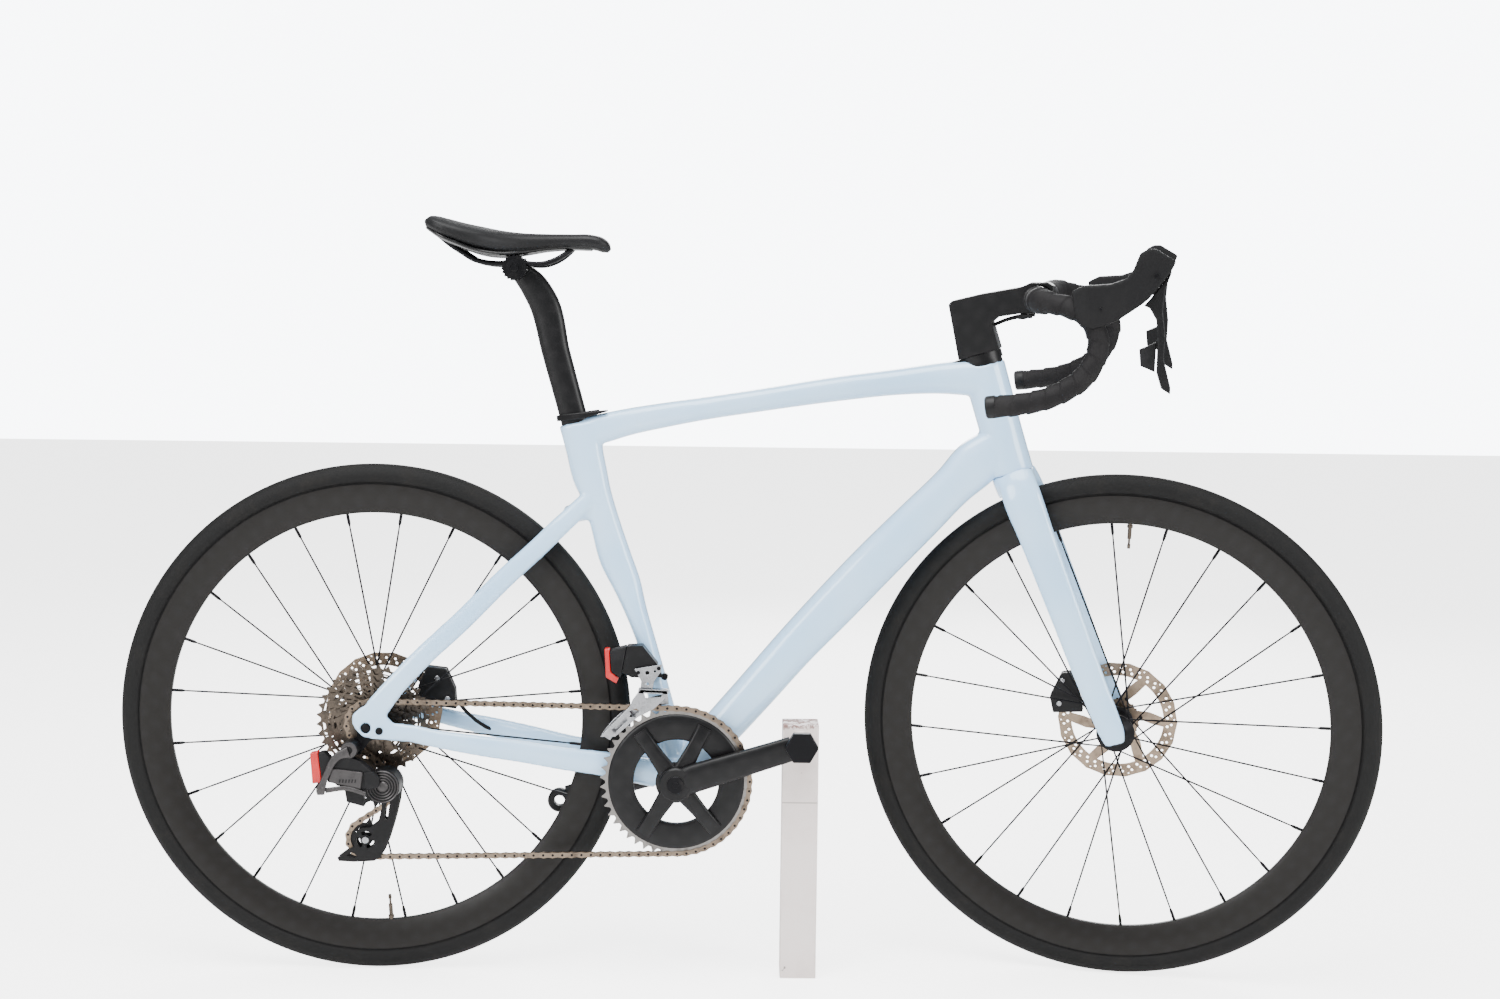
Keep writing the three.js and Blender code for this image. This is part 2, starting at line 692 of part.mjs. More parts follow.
// The loop's pitch line as points with their left-hand normals; turn +1 wheels lie inside the loop.
function chainLine() {
  const count = CHAIN_WHEELS.length;
  const headings = CHAIN_WHEELS.map((from, k) => {
    const to = CHAIN_WHEELS[(k + 1) % count];
    const span = Math.hypot(to.x - from.x, to.z - from.z);
    const bearing = Math.atan2(to.z - from.z, to.x - from.x);
    return bearing - Math.asin((to.turn * to.r - from.turn * from.r) / span);
  });
  const points = [];
  CHAIN_WHEELS.forEach((wheel, k) => {
    const arrive = headings[(k + count - 1) % count];
    const full = 2 * Math.PI;
    const sweep = wheel.turn * ((((headings[k] - arrive) * wheel.turn) % full) + full) % full;
    const steps = Math.max(1, Math.round(Math.abs(THREE.MathUtils.radToDeg(sweep)) / wheel.step));
    for (let i = 0; i <= steps; i += 1) {
      const heading = arrive + (sweep * i) / steps;
      const left = [-Math.sin(heading), Math.cos(heading)];
      points.push({
        x: wheel.x - left[0] * wheel.turn * wheel.r,
        z: wheel.z - left[1] * wheel.turn * wheel.r,
        left,
      });
    }
  });
  return points;
}

// The loop as a band between two offsets from its pitch line, positive inwards.
function chainBand(outerOffset, innerOffset, halfWidth) {
  const line = chainLine();
  const ring = (offset) => line.map((p) => [p.x + p.left[0] * offset, p.z + p.left[1] * offset]);
  return sidePlate(ring(outerOffset), CHAIN_Y - halfWidth, CHAIN_Y + halfWidth, [ring(innerOffset)]);
}

function chain() {
  const band = chainBand(-CHAIN_HALF_HEIGHT, CHAIN_HALF_HEIGHT, CHAIN_HALF_WIDTH);
  const slot = chainBand(-CHAIN_SLOT_DEPTH, CHAIN_HALF_HEIGHT + 2, CHAIN_SLOT_HALF);
  piece("chain", band.subtract(slot), STEEL);
}

function pulleys() {
  const [guideX, guideZ] = GUIDE;
  const plainRim = ringCorners(guideX, guideZ, pitchRadius(PULLEY_TEETH) - CHAIN_HALF_HEIGHT - 0.6, 36);
  const bore = (x, z) => ringCorners(x, z, 3 + FINE, ROUND);
  const guide = sidePlate(plainRim, CHAIN_Y - 3.5, CHAIN_Y + 3.5, [bore(guideX, guideZ)]);
  piece("guide_pulley", guide, CARBON);
  const tension = toothedDisc(TENSION[0], TENSION[1], PULLEY_TEETH, CHAIN_Y - 0.9, CHAIN_Y + 0.9, {
    hole: 3 + FINE,
    crest: 1.8,
  });
  const boss = sidePlate(ringCorners(...TENSION, 8, ROUND), CHAIN_Y - 3.5, CHAIN_Y + 3.5, [bore(...TENSION)]);
  piece("tension_pulley", tension.add(boss), CARBON);
}

// ---------------------------------------------------------------- seat
const CLAMP = [186, 939];
const RAIL_ROWS = [
  [106, 33, 961],
  [128, 26, 950],
  [146, 22, 943],
  [190, 22, 942],
  [229, 22, 943],
  [246, 17, 950],
  [260, 9, 954],
  [265, 0, 954.5],
];

function railLoop(radius) {
  const half = RAIL_ROWS.slice(0, -1);
  const loop = [
    ...half.map(([x, y, z]) => [x, y, z]),
    RAIL_ROWS[RAIL_ROWS.length - 1],
    ...half.map(([x, y, z]) => [x, -y, z]).reverse(),
  ];
  const rows = loop.map((at) => ({ at, deep: radius, wide: radius }));
  return loft(rows, { sides: 8, exponent: 2, hint: [0, 0, 1] });
}

function seatpostAndClamp() {
  const tube = loft(stations(SEATPOST_ROWS), { sides: 16 });
  const head = barY(...CLAMP, 13.5, -14.5, 14.5);
  const boltHole = barY(...CLAMP, 4.3, -40, 40, 16);
  piece("seatpost", cut(union([tube, head]), [boltHole]), CARBON);
  const cheeks = union([
    barY(...CLAMP, 16, -31, -15, 16),
    barY(...CLAMP, 16, 15, 31, 16),
    barY(...CLAMP, 4, -33, 33, 16),
  ]);
  piece("saddle_clamp", cut(cheeks, [railLoop(3.9), seatpostTop()]), BLACK);
  piece("saddle_rails", railLoop(3.5), BLACK);
}

function seatpostTop() {
  return loft(stations(SEATPOST_ROWS), { sides: 16, grow: GAP });
}

const SADDLE_ROWS = [
  [71, 1001, 995, 46],
  [78, 1006, 988, 58],
  [95, 1003, 978, 70],
  [115, 998, 971, 71],
  [140, 993, 963, 64],
  [165, 988.5, 958, 50],
  [193, 985.5, 958, 35],
  [227, 984.5, 961, 25],
  [260, 984.5, 963, 21.5],
  [285, 984, 962.5, 19.5],
  [300, 978, 962.5, 16],
  [307, 970, 963, 9],
];

function saddle() {
  const cover = SADDLE_ROWS.map(([x, top, low, wide]) => ({
    at: [x, 0, (top + low) / 2],
    deep: (top - low) / 2,
    wide,
  }));
  const shell = SADDLE_ROWS.slice(1, -1).map(([x, , low, wide]) => ({
    at: [x, 0, low + 3.5],
    deep: 5,
    wide: wide - 7,
  }));
  const body = loft(cover, { sides: 16, exponent: 2.5 });
  const fatBody = loft(cover, { sides: 16, exponent: 2.5, grow: GAP });
  piece("saddle_cover", body, BLACK);
  piece("saddle_shell", cut(loft(shell, { sides: 16, exponent: 3 }), [fatBody, railLoop(3.8)]), CARBON);
}

// ---------------------------------------------------------------- steering
const BAR_CENTRE = [875, 909];
const BAR_ROWS = [
  [875, 0, 909],
  [875, 40, 909],
  [876, 62, 909.5],
  [878, 110, 911],
  [882, 150, 912],
  [890, 178, 911.5],
  [905, 194, 909.5],
  [925, 202, 905],
  [944, 205, 896],
  [956, 206, 880],
  [960, 207, 860],
  [954, 208, 838],
  [943, 208.5, 821.5],
  [922, 209, 806],
  [898, 209.5, 795],
  [868, 210, 788],
  [831, 210, 783.5],
];

// A tube along the right or left half of the handlebar, from row start on.
function barTube(side, start, radii, sides = 8) {
  const rows = BAR_ROWS.slice(start).map(([x, y, z], k) => ({
    at: [x, side * y, z],
    deep: radii(k + start),
    wide: radii(k + start),
    hint: k + start < 7 ? [0, 0, 1] : [0.3, side, 0.3],
  }));
  return loft(rows, { sides, exponent: 2 });
}

const barRadius = (k) => (k < 2 ? 15.9 : k === 2 ? 14 : 11.8);
const tapeRadius = (k) => {
  if (k < 6) return 16.4;
  if (k < 12) return 13.2;
  return 13.8;
};

function handlebar() {
  const halves = [1, -1].map((side) => barTube(side, 0, barRadius));
  const plugs = [1, -1].map((side) =>
    loft(
      [
        { at: [831.5, side * 210, 783.6], deep: 13, wide: 13 },
        { at: [827, side * 210, 783], deep: 12, wide: 12 },
      ],
      { exponent: 2 },
    ),
  );
  piece("handlebar", steered(inFront(union([...halves, ...plugs]))), CARBON);
}

function tapeSolid(side, grow = 0) {
  return barTube(side, 2, (k) => tapeRadius(k) + grow, 10);
}

function barTape(name, side) {
  const inner = barTube(side, 1, (k) => barRadius(k) + GAP);
  const plug = loft(
    [
      { at: [832, side * 210, 783.6], deep: 15, wide: 15 },
      { at: [820, side * 210, 782], deep: 15, wide: 15 },
    ],
    { exponent: 2 },
  );
  piece(name, steered(inFront(cut(tapeSolid(side), [inner, plug]))), RUBBER);
}

const HOOD_CORNERS = [
  [927, 925],
  [941, 932],
  [972, 934],
  [989, 940],
  [998, 950],
  [1006, 971],
  [1015, 976],
  [1024, 976],
  [1048, 962],
  [1044, 953],
  [1018, 918],
  [1010, 911],
  [983, 892],
  [966, 884],
  [950, 880],
  [936, 886],
  [930, 905],
];

function hoodBlock(side) {
  const plate = sidePlate(HOOD_CORNERS, side * 205 - 17, side * 205 + 17);
  const topView = loft(
    [
      { at: [922, side * 204, 925], deep: 70, wide: 12 },
      { at: [945, side * 205, 925], deep: 70, wide: 16.5 },
      { at: [990, side * 205, 930], deep: 70, wide: 16 },
      { at: [1030, side * 204, 935], deep: 70, wide: 15 },
      { at: [1052, side * 203, 935], deep: 70, wide: 12 },
    ],
    { sides: 16, exponent: 5 },
  );
  return plate.intersect(topView);
}

const LEVER_CORNERS = [
  [1044, 951],
  [1036, 928],
  [1034, 904],
  [1038, 872],
  [1037, 845],
  [1046, 812],
  [1046, 804],
  [1035, 811],
  [1029, 830],
  [1029, 869],
  [1027, 892],
  [1019, 906],
  [1012, 909],
  [1019, 917],
];
const LEVER_PIVOT = [1040, 946];

function hood(name, side) {
  const lowY = side * 204 - 8;
  const highY = side * 204 + 8;
  const slot = sidePlate(
    [[1050, 964], [1040, 962], [1016, 946], [990, 916], [984, 890], [1014, 904], [1060, 940]],
    lowY,
    highY,
  );
  const tools = [tapeSolid(side, GAP), barTube(side, 1, (k) => barRadius(k) + GAP), slot];
  piece(name, steered(inFront(cut(hoodBlock(side), tools))), RUBBER);
}

function brakeLever(name, side) {
  const lowY = side * 204 - 6;
  const highY = side * 204 + 6;
  piece(name, steered(inFront(sidePlate(LEVER_CORNERS, lowY, highY))), CARBON);
}

const PADDLE_CORNERS = [[1028, 866], [1008, 857], [1010, 837], [1027, 830]];

function shiftPaddle(name, side) {
  const inward = side * 204;
  piece(name, steered(inFront(sidePlate(PADDLE_CORNERS, inward - 2.5, inward + 2.5))), CARBON);
}

function fork() {
  const blade = [
    [852, 22, 669, 24, 11],
    [859, 31, 652, 25, 11],
    [880, 35, 600, 22.8, 9.5],
    [921, 43.5, 500, 20, 8],
    [962, 52, 400, 17.6, 6.2],
    [979, 55.8, 362, 16.5, 5.6],
    [991, 56.2, 331, 14, 5.6],
  ];
  const crown = loft(
    [
      { at: onSteerer(347), deep: 26, wide: 38 },
      { at: onSteerer(356), deep: 26.5, wide: 33 },
      { at: onSteerer(CROWN_TOP + 1), deep: 27, wide: 27 },
    ],
    { sides: 16 },
  );
  const steerer = turnedOnSteerer(
    [[0, 360], [19, 360], [19, 380], [14.3, 405], [14.3, 584], [0, 584]],
    32,
  );
  const legs = union([crown, inFront(loft(stations(blade))), inFront(loft(stations(blade, -1)))]);
  const tools = [
    barY(WHEELBASE, AXLE_Z, AXLE_R + GAP, -90, 90),
    box(WHEELBASE - 40, WHEELBASE + 50, -50.2, 50.2, 300, 372),
    slabOnSteerer(CROWN_TOP, 420),
  ];
  piece("fork", steered(cut(legs, tools).add(steerer)), PAINT);
}

function stem() {
  const corners = [
    [771.6, 827],
    [757, 899],
    [761, 904],
    [799, 913.5],
    [850, 923],
    [863, 929],
    [875, 929],
    [875, 889],
    [852, 889],
    [822, 884],
    [814, 877],
    [825, 842.5],
  ];
  const block = inFront(sidePlate(corners, -21, 21));
  const bore = turnedOnSteerer([[0, 500], [14.6, 500], [14.6, 585], [0, 585]], 32);
  const clampBore = inFront(barY(...BAR_CENTRE, 15.9 + GAP, -60, 60, 32));
  piece("stem", steered(cut(block, [slabOnSteerer(480, COVER_TOP + GAP), bore, clampBore])), CARBON);
  const front = [[875.4, 929], [884, 930], [893, 925], [896, 909], [892, 893], [884, 889], [875.4, 889]];
  piece("stem_faceplate", steered(inFront(sidePlate(front, -19, 19)).subtract(clampBore)), CARBON);
}

function controlHoses() {
  const hose = (side) =>
    loft(
      [
        { at: [866, side * 26, 885.6], deep: 2.4, wide: 2.4 },
        { at: [850, side * 17, 884.6], deep: 2.4, wide: 2.4 },
        { at: [832, side * 8, 880], deep: 2.4, wide: 2.4 },
        { at: [816.5, side * 5, 873.5], deep: 2.4, wide: 2.4 },
      ],
      { sides: 8, exponent: 2 },
    );
  const clip = box(847, 860, -22, 22, 882, 887.2);
  piece("control_hoses", steered(inFront(union([hose(1), hose(-1), clip]))), RUBBER);
}

function frontCaliper() {
  const drawn = [[899, 369], [904, 347], [944, 350], [942, 366], [926, 404], [914, 402]];
  const corners = drawn.map(([x, z]) => [x + FRONT_SHIFT, z]);
  const block = caliper(corners, 30, 47, WHEELBASE, FRONT_ROTOR_Y);
  piece("front_brake_caliper", steered(block), CARBON);
}

// ---------------------------------------------------------------- wheels
const SPOKES = 24;

function wheelRing(x, profile) {
  return turnedY(x, AXLE_Z, profile, WHEEL_SIDES);
}

function tyre(x) {
  const centre = WHEEL_R - TYRE_R;
  const arc = Array.from({ length: 7 }, (_, k) => {
    const angle = THREE.MathUtils.degToRad(-135 + (270 * k) / 6);
    return [centre + TYRE_R * Math.cos(angle), TYRE_R * Math.sin(angle)];
  });
  return wheelRing(x, arc);
}

function rim(x, valveAngle) {
  const bed = WHEEL_R - TYRE_R + TYRE_R * Math.cos(THREE.MathUtils.degToRad(135)) - GAP;
  const inner = RIM_OUTER_R - RIM_DEPTH;
  const ring = wheelRing(x, [
    [inner, -7],
    [inner + 10, -11.5],
    [bed, -11],
    [bed, 11],
    [inner + 10, 11.5],
    [inner, 7],
  ]);
  const valve = new THREE.CylinderGeometry(2.6, 3.2, 40, 10);
  valve.translate(0, inner - 14, 0);
  valve.rotateX(Math.PI / 2);
  valve.rotateY(Math.PI / 2 - valveAngle);
  valve.translate(x, 0, AXLE_Z);
  return ring.add(solid(valve));
}

// Flat spokes from the hub's two flanges to the rim.
function spokes(x, flanges, firstAngle) {
  const reach = (RIM_OUTER_R - RIM_DEPTH) * Math.cos(Math.PI / WHEEL_SIDES) - GAP;
  return Array.from({ length: SPOKES }, (_, k) => {
    const flange = flanges[k % 2];
    const angle = firstAngle + (k / SPOKES) * 2 * Math.PI;
    const pull = Math.floor(k / 2) % 2 === 0 ? 1 : -1;
    const lean = pull * flange.lead;
    const start = new THREE.Vector3(
      (flange.radius + 1.5) * Math.cos(angle + lean),
      flange.y + pull * 1.2,
      (flange.radius + 1.5) * Math.sin(angle + lean),
    );
    const end = new THREE.Vector3(reach * Math.cos(angle), 0, reach * Math.sin(angle));
    const bar = (from, to, wide, thick) => {
      const along = to.clone().sub(from);
      const geometry = new THREE.BoxGeometry(wide, thick, along.length());
      const basis = new THREE.Matrix4();
      const z = along.clone().normalize();
      const y = new THREE.Vector3(0, 1, 0).addScaledVector(z, -z.y).normalize();
      basis.makeBasis(y.clone().cross(z), y, z);
      geometry.applyMatrix4(basis);
      const middle = from.clone().add(to).multiplyScalar(0.5);
      geometry.translate(middle.x + x, middle.y, middle.z + AXLE_Z);
      return solid(geometry);
    };
    return bar(start, end, 2.4, 1.2);
  });
}

// A hub shell: bore, end faces, two flanges and the lip and lock ring that hold the rotor.
function hubShell(x, ends, flanges, rotorY) {
  const [low, high] = flanges;
  const rotorLow = rotorY - ROTOR_HALF - GAP;
  const rotorHigh = rotorY + ROTOR_HALF + GAP;
  const profile = [
    [0, ends[0]],
    [10, ends[0]],
    [low.radius + 3, low.y - 2.5],
    [low.radius + 3, low.y + 2.5],
    [14, low.y + 8],
    [14, high.y - 7],
    [high.radius + 3, high.y - 2.5],
    [high.radius + 3, high.y + 2.5],
    [20.5, rotorLow],
    [17.2, rotorLow],
    [17.2, rotorHigh],
    [20.5, rotorHigh],
    [10, rotorY + 5],
    [10, ends[1]],
    [0, ends[1]],
  ];
  return turnedY(x, AXLE_Z, profile, 16).subtract(barY(x, AXLE_Z, AXLE_R + FINE, -90, 90));
}

function wheel(prefix, x, hub, move) {
  piece(prefix + "_rim", move(rim(x, hub.valveAngle)), CARBON);
  piece(prefix + "_tyre", move(tyre(x)), RUBBER);
  const shell = hubShell(x, hub.ends, hub.flanges, hub.rotorY);
  piece(prefix + "_hub", move(union([shell, ...spokes(x, hub.flanges, hub.firstSpoke)])), BLACK);
  piece(prefix + "_rotor", move(rotor(x, hub.rotorY)), STEEL);
}

function freewheel() {
  const bore = AXLE_R + FINE;
  const body = [
    [bore, -70.7],
    [9.5, -70.7],
    [9.5, -67],
    [15.8, -66.5],
    [15.8, -22.2],
    [bore, -22.2],
  ];
  piece("freehub_body", turnedY(0, AXLE_Z, body, ROUND), DARK_METAL);
  const smallestY = CHAIN_Y - SPROCKETS.indexOf(DRIVEN_TEETH) * SPROCKET_STEP;
  const plates = SPROCKETS.map((teeth, k) => {
    const y = smallestY + k * SPROCKET_STEP;
    const perTooth = teeth === DRIVEN_TEETH ? 2 : 1;
    return toothedDisc(0, AXLE_Z, teeth, y - 0.8, y + 0.8, { crest: 1.8, root: 2.4, perTooth });
  });
  const lastY = smallestY + (SPROCKETS.length - 1) * SPROCKET_STEP;
  const core = turnedY(0, AXLE_Z, [
    [0, smallestY - 2.5],
    [17.4, smallestY - 2.5],
    [17.8, CHAIN_Y - 9],
    [24, CHAIN_Y - 1],
    [24, CHAIN_Y + 1],
    [34, lastY + 0.7],
    [0, lastY + 0.7],
  ], 12);
  const bodyHole = barY(0, AXLE_Z, 16.2, -90, 0);
  piece("cassette", union([core, ...plates]).subtract(bodyHole), STEEL);
}

// ---------------------------------------------------------------- crankset and stand
const ARM_OUTER_Y = 75;
const ARM_INNER_Y = 62;
const PEDAL_HOLE_R = 7.1;
const SPIDER_DEGREES = [18.1, 63, 126, 238, 310];
const RING_DEPTH = 17.09; // from the large ring's pitch line in to its hole
const RING_HOLE_R = pitchRadius(BIG_TEETH) - RING_DEPTH;
const CARRIER_OUTER_R = RING_HOLE_R + 8;
const SPIDER_REACH = RING_HOLE_R + 4;

function crankArm(side) {
  const angle = side > 0 ? CRANK_ANGLE + Math.PI : CRANK_ANGLE;
  const along = (distance) => [BB_X + distance * Math.cos(angle), BB_Z + distance * Math.sin(angle)];
  const rows = [
    [-4, side * 62, 17, 9],
    [40, side * 64, 18.5, 8.5],
    [CRANK_LENGTH - 72.5, side * 67, 17, 7.5],
    [CRANK_LENGTH - 22.5, side * 68.5, 16.2, 6.5],
    [CRANK_LENGTH + 5.5, side * 68.5, 15.5, 6.5],
  ].map(([distance, y, deep, wide]) => {
    const [x, z] = along(distance);
    return { at: [x, y, z], deep, wide };
  });
  const [pedalX, pedalZ] = along(CRANK_LENGTH);
  const eye = barY(pedalX, pedalZ, 16.5, ...sorted(side * ARM_INNER_Y, side * ARM_OUTER_Y));
  const boss = barY(BB_X, BB_Z, 22, ...sorted(side * 51.6, side * 73));
  const arm = union([loft(rows, { exponent: 3 }), eye, boss]);
  const inside = box(BB_X - 300, BB_X + 300, ...sorted(side * 40, side * 51.5), 0, 600);
  return cut(arm, [barY(pedalX, pedalZ, PEDAL_HOLE_R, ...sorted(side * 50, side * 90)), inside]);
}

function sorted(a, b) {
  return a < b ? [a, b] : [b, a];
}

function crankset() {
  const spider = SPIDER_DEGREES.map((degrees) => {
    const angle = THREE.MathUtils.degToRad(degrees);
    const [c, s] = [Math.cos(angle), Math.sin(angle)];
    const corner = (reach, side) => [BB_X + reach * c - side * s, BB_Z + reach * s + side * c];
    const ends = [corner(0, -11), corner(SPIDER_REACH, -8), corner(SPIDER_REACH, 8), corner(0, 11)];
    return sidePlate(ends, -58, -51.6);
  });
  const right = cut(union([crankArm(-1), ...spider]), [barY(BB_X, BB_Z, SPINDLE_R + GAP, -69.5, -40, 32)]);
  piece("crank_arm_right", right, CARBON);
  const spindle = barY(BB_X, BB_Z, SPINDLE_R, -69, 60, 32);
  piece("crank_arm_left", union([crankArm(1), spindle]), CARBON);
  const carrier = sidePlate(ringCorners(BB_X, BB_Z, CARRIER_OUTER_R, 32), -51.2, -46.9, [
    ringCorners(BB_X, BB_Z, 56, 24),
  ]);
  const teeth = toothedDisc(BB_X, BB_Z, BIG_TEETH, CHAIN_Y - 0.9, CHAIN_Y + 0.9, {
    hole: RING_HOLE_R,
    crest: 1.8,
  });
  piece("chainring_large", carrier.add(teeth), DARK_METAL);
  const smallTeeth = toothedDisc(BB_X, BB_Z, SMALL_TEETH, -42, -40.2, { hole: 58, perTooth: 1 });
  const smallCarrier = sidePlate(ringCorners(BB_X, BB_Z, 64, 24), -46.6, -40.2, [
    ringCorners(BB_X, BB_Z, 57, 24),
  ]);
  piece("chainring_small", smallCarrier.add(smallTeeth), DARK_METAL);
}

function stand() {
  const pedal = [POST_X, BB_Z + CRANK_LENGTH * Math.sin(CRANK_ANGLE)];
  const hexagon = new THREE.CylinderGeometry(BOLT_HEAD_R, BOLT_HEAD_R, BOLT_HEAD_THICK, 6);
  hexagon.rotateY(Math.PI / 6); // flats at the top and bottom
  hexagon.translate(pedal[0], -ARM_OUTER_Y - GAP - BOLT_HEAD_THICK / 2, pedal[1]);
  const head = solid(hexagon);
  const shank = barY(...pedal, PEDAL_HOLE_R - GAP, -ARM_OUTER_Y - 5, -ARM_INNER_Y, ROUND);
  piece("stand_bolt", head.add(shank), CARBON);
  const half = POST_SIDE / 2;
  const post = box(
    POST_X - half,
    POST_X + half,
    POST_FACE_Y,
    POST_FACE_Y + POST_SIDE,
    FLOOR_Z,
    FLOOR_Z + POST_HEIGHT,
  );
  const standOff = barY(...pedal, 12, -ARM_INNER_Y + GAP, POST_FACE_Y + 4, ROUND);
  piece("stand_post", post.add(standOff), WHITE_PAINT);
}

// ---------------------------------------------------------------- assembly
frontTriangle();
seatStays();
chainStays();
seatClampCover();
headset();
bottomBracket();
derailleurHanger();
throughAxle("rear_axle", 0, -78.5, 79.8, 1);
rearCaliper();
frontDerailleur();
rearDerailleur();
chain();
pulleys();
seatpostAndClamp();
saddle();
fork();
stem();
handlebar();
[["right", -1], ["left", 1]].forEach(([word, side]) => {
  barTape("bar_tape_" + word, side);
  hood("hood_" + word, side);
  brakeLever("brake_lever_" + word, side);
  shiftPaddle("shift_paddle_" + word, side);
});
controlHoses();
frontCaliper();
throughAxle("front_axle", WHEELBASE, -61, 63, 1, steered);
wheel(
  "front",
  WHEELBASE,
  {
    ends: [-49.7, 49.7],
    flanges: [{ y: -33, radius: 22, lead: 0.9 }, { y: 25, radius: 19, lead: 0.9 }],
    rotorY: FRONT_ROTOR_Y,
    valveAngle: THREE.MathUtils.degToRad(88),
    firstSpoke: THREE.MathUtils.degToRad(3),
  },
  steered,
);
wheel(
  "rear",
  0,
  {
    ends: [-21.8, 70.6],
    flanges: [{ y: -17.5, radius: 20, lead: 0.9 }, { y: 36, radius: 18, lead: 0.9 }],
    rotorY: REAR_ROTOR_Y,
    valveAngle: THREE.MathUtils.degToRad(-86),
    firstSpoke: THREE.MathUtils.degToRad(8),
  },
  (body) => body,
);
freewheel();
crankset();
stand();

export default bicycle;
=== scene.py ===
# %% [markdown]
# # A road bicycle on a display post
# The bicycle's solid frame of parts is already worked out and loads first. This file gives it its
# looks: painted carbon tubes, wheels, gears, tape and rubber. Each step says what the real piece is,
# how it could be made, and why it is made this way.

import json
import math

import bmesh
import bpy
import numpy as np
from mathutils import Matrix, Vector
from mathutils.geometry import tessellate_polygon

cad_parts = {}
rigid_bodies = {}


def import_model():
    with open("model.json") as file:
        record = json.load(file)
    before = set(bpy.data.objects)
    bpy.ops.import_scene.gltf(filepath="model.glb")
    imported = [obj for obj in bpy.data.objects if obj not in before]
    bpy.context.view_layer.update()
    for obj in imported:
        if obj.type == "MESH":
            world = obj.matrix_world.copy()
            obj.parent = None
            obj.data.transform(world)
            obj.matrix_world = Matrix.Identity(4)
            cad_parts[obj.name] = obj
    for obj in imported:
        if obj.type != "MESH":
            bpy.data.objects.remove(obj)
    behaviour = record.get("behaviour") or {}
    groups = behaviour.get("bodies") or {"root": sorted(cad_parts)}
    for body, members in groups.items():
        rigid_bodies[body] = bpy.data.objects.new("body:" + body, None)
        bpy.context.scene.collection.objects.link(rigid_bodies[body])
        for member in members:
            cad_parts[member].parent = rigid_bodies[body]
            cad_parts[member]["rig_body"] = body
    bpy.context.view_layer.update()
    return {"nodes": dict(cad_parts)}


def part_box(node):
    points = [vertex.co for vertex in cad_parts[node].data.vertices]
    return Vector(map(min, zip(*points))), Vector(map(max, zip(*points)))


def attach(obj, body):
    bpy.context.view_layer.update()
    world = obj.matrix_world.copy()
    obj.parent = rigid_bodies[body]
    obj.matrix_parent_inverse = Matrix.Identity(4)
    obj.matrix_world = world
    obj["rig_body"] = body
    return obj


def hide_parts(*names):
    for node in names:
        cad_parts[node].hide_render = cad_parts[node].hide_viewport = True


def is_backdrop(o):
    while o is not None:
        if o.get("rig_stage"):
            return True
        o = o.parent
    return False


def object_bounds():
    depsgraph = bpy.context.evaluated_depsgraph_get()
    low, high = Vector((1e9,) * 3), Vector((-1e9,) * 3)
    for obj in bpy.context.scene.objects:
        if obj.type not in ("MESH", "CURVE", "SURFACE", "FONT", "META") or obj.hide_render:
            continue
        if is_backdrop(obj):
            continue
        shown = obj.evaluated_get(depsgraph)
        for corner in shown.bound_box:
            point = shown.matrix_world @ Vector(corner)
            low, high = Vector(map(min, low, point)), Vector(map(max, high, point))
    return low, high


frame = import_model()

# %% [markdown]
# ## Bicycle coordinates
# A frame builder measures from the rear axle: X forward, Y to the rider's left, Z up from the floor,
# in millimetres. Blender wants metres from the post's foot. One function turns the first into the
# second, and another turns whatever sits on the fork about the steering axis, so that every piece can
# be drawn with the handlebar straight ahead, where its numbers are simple.

# %% From bicycle millimetres to the frame's metres
TURN = 2 * math.pi
SIDES = ((-1, "right"), (1, "left"))
POST_FOOT = np.array([566.964, -12.0, 0.0])
HEAD_ANGLE = math.radians(73.5)
FORK_OFFSET = 44.0
WHEELBASE = 990.0
WHEEL_R = 340.0
STEER_ANGLE = math.radians(-13.16)
STEER_AXIS = np.array([-math.cos(HEAD_ANGLE), 0.0, math.sin(HEAD_ANGLE)])
STEER_FOOT = np.array([
    WHEELBASE - FORK_OFFSET * math.sin(HEAD_ANGLE),
    0.0,
    WHEEL_R - FORK_OFFSET * math.cos(HEAD_ANGLE),
])


def metres(points):
    """Bicycle millimetres to frame metres: (point - post foot) / 1000."""
    return (np.asarray(points, float) - POST_FOOT) / 1000


def steer(points):
    """Turn points by the resting angle t about the axis u through the foot f:
    f + v cos t + (u x v) sin t + u (u . v)(1 - cos t), with v = point - f."""
    v = np.asarray(points, float) - STEER_FOOT
    c, s = math.cos(STEER_ANGLE), math.sin(STEER_ANGLE)
    along = (v @ STEER_AXIS)[:, None] * STEER_AXIS
    return STEER_FOOT + v * c + np.cross(STEER_AXIS, v) * s + along * (1 - c)


def on_steerer(height, forward=0.0):
    """A point that far up the steering axis, and that far in front of it."""
    ahead = np.array([STEER_AXIS[2], 0.0, -STEER_AXIS[0]])
    return STEER_FOOT + STEER_AXIS * height + ahead * forward


print("steering axis foot", STEER_FOOT.round(1))

# %% [markdown]
# ## Shapes as arrays
# A shape is a pair: an array of points and a list of faces. Three kinds cover nearly everything on a
# bicycle: a section carried along a path (tubes, spokes, tape), a profile turned about an axle (rims,
# tyres, hubs), and a flat outline given a thickness (sprockets, rotors, brackets).

# %% Section carried along a path
def grid_faces(rows, columns, wrap_rows=False):
    """Quads of a rows x columns grid of points whose columns close on themselves."""
    r = np.arange(rows if wrap_rows else rows - 1)[:, None]
    c = np.arange(columns)[None, :]
    a = r * columns + c
    b = r * columns + (c + 1) % columns
    below = ((r + 1) % rows) * columns
    quads = np.stack([a, b, below + (c + 1) % columns, below + c], axis=-1)
    return [tuple(q) for q in quads.reshape(-1, 4).tolist()]


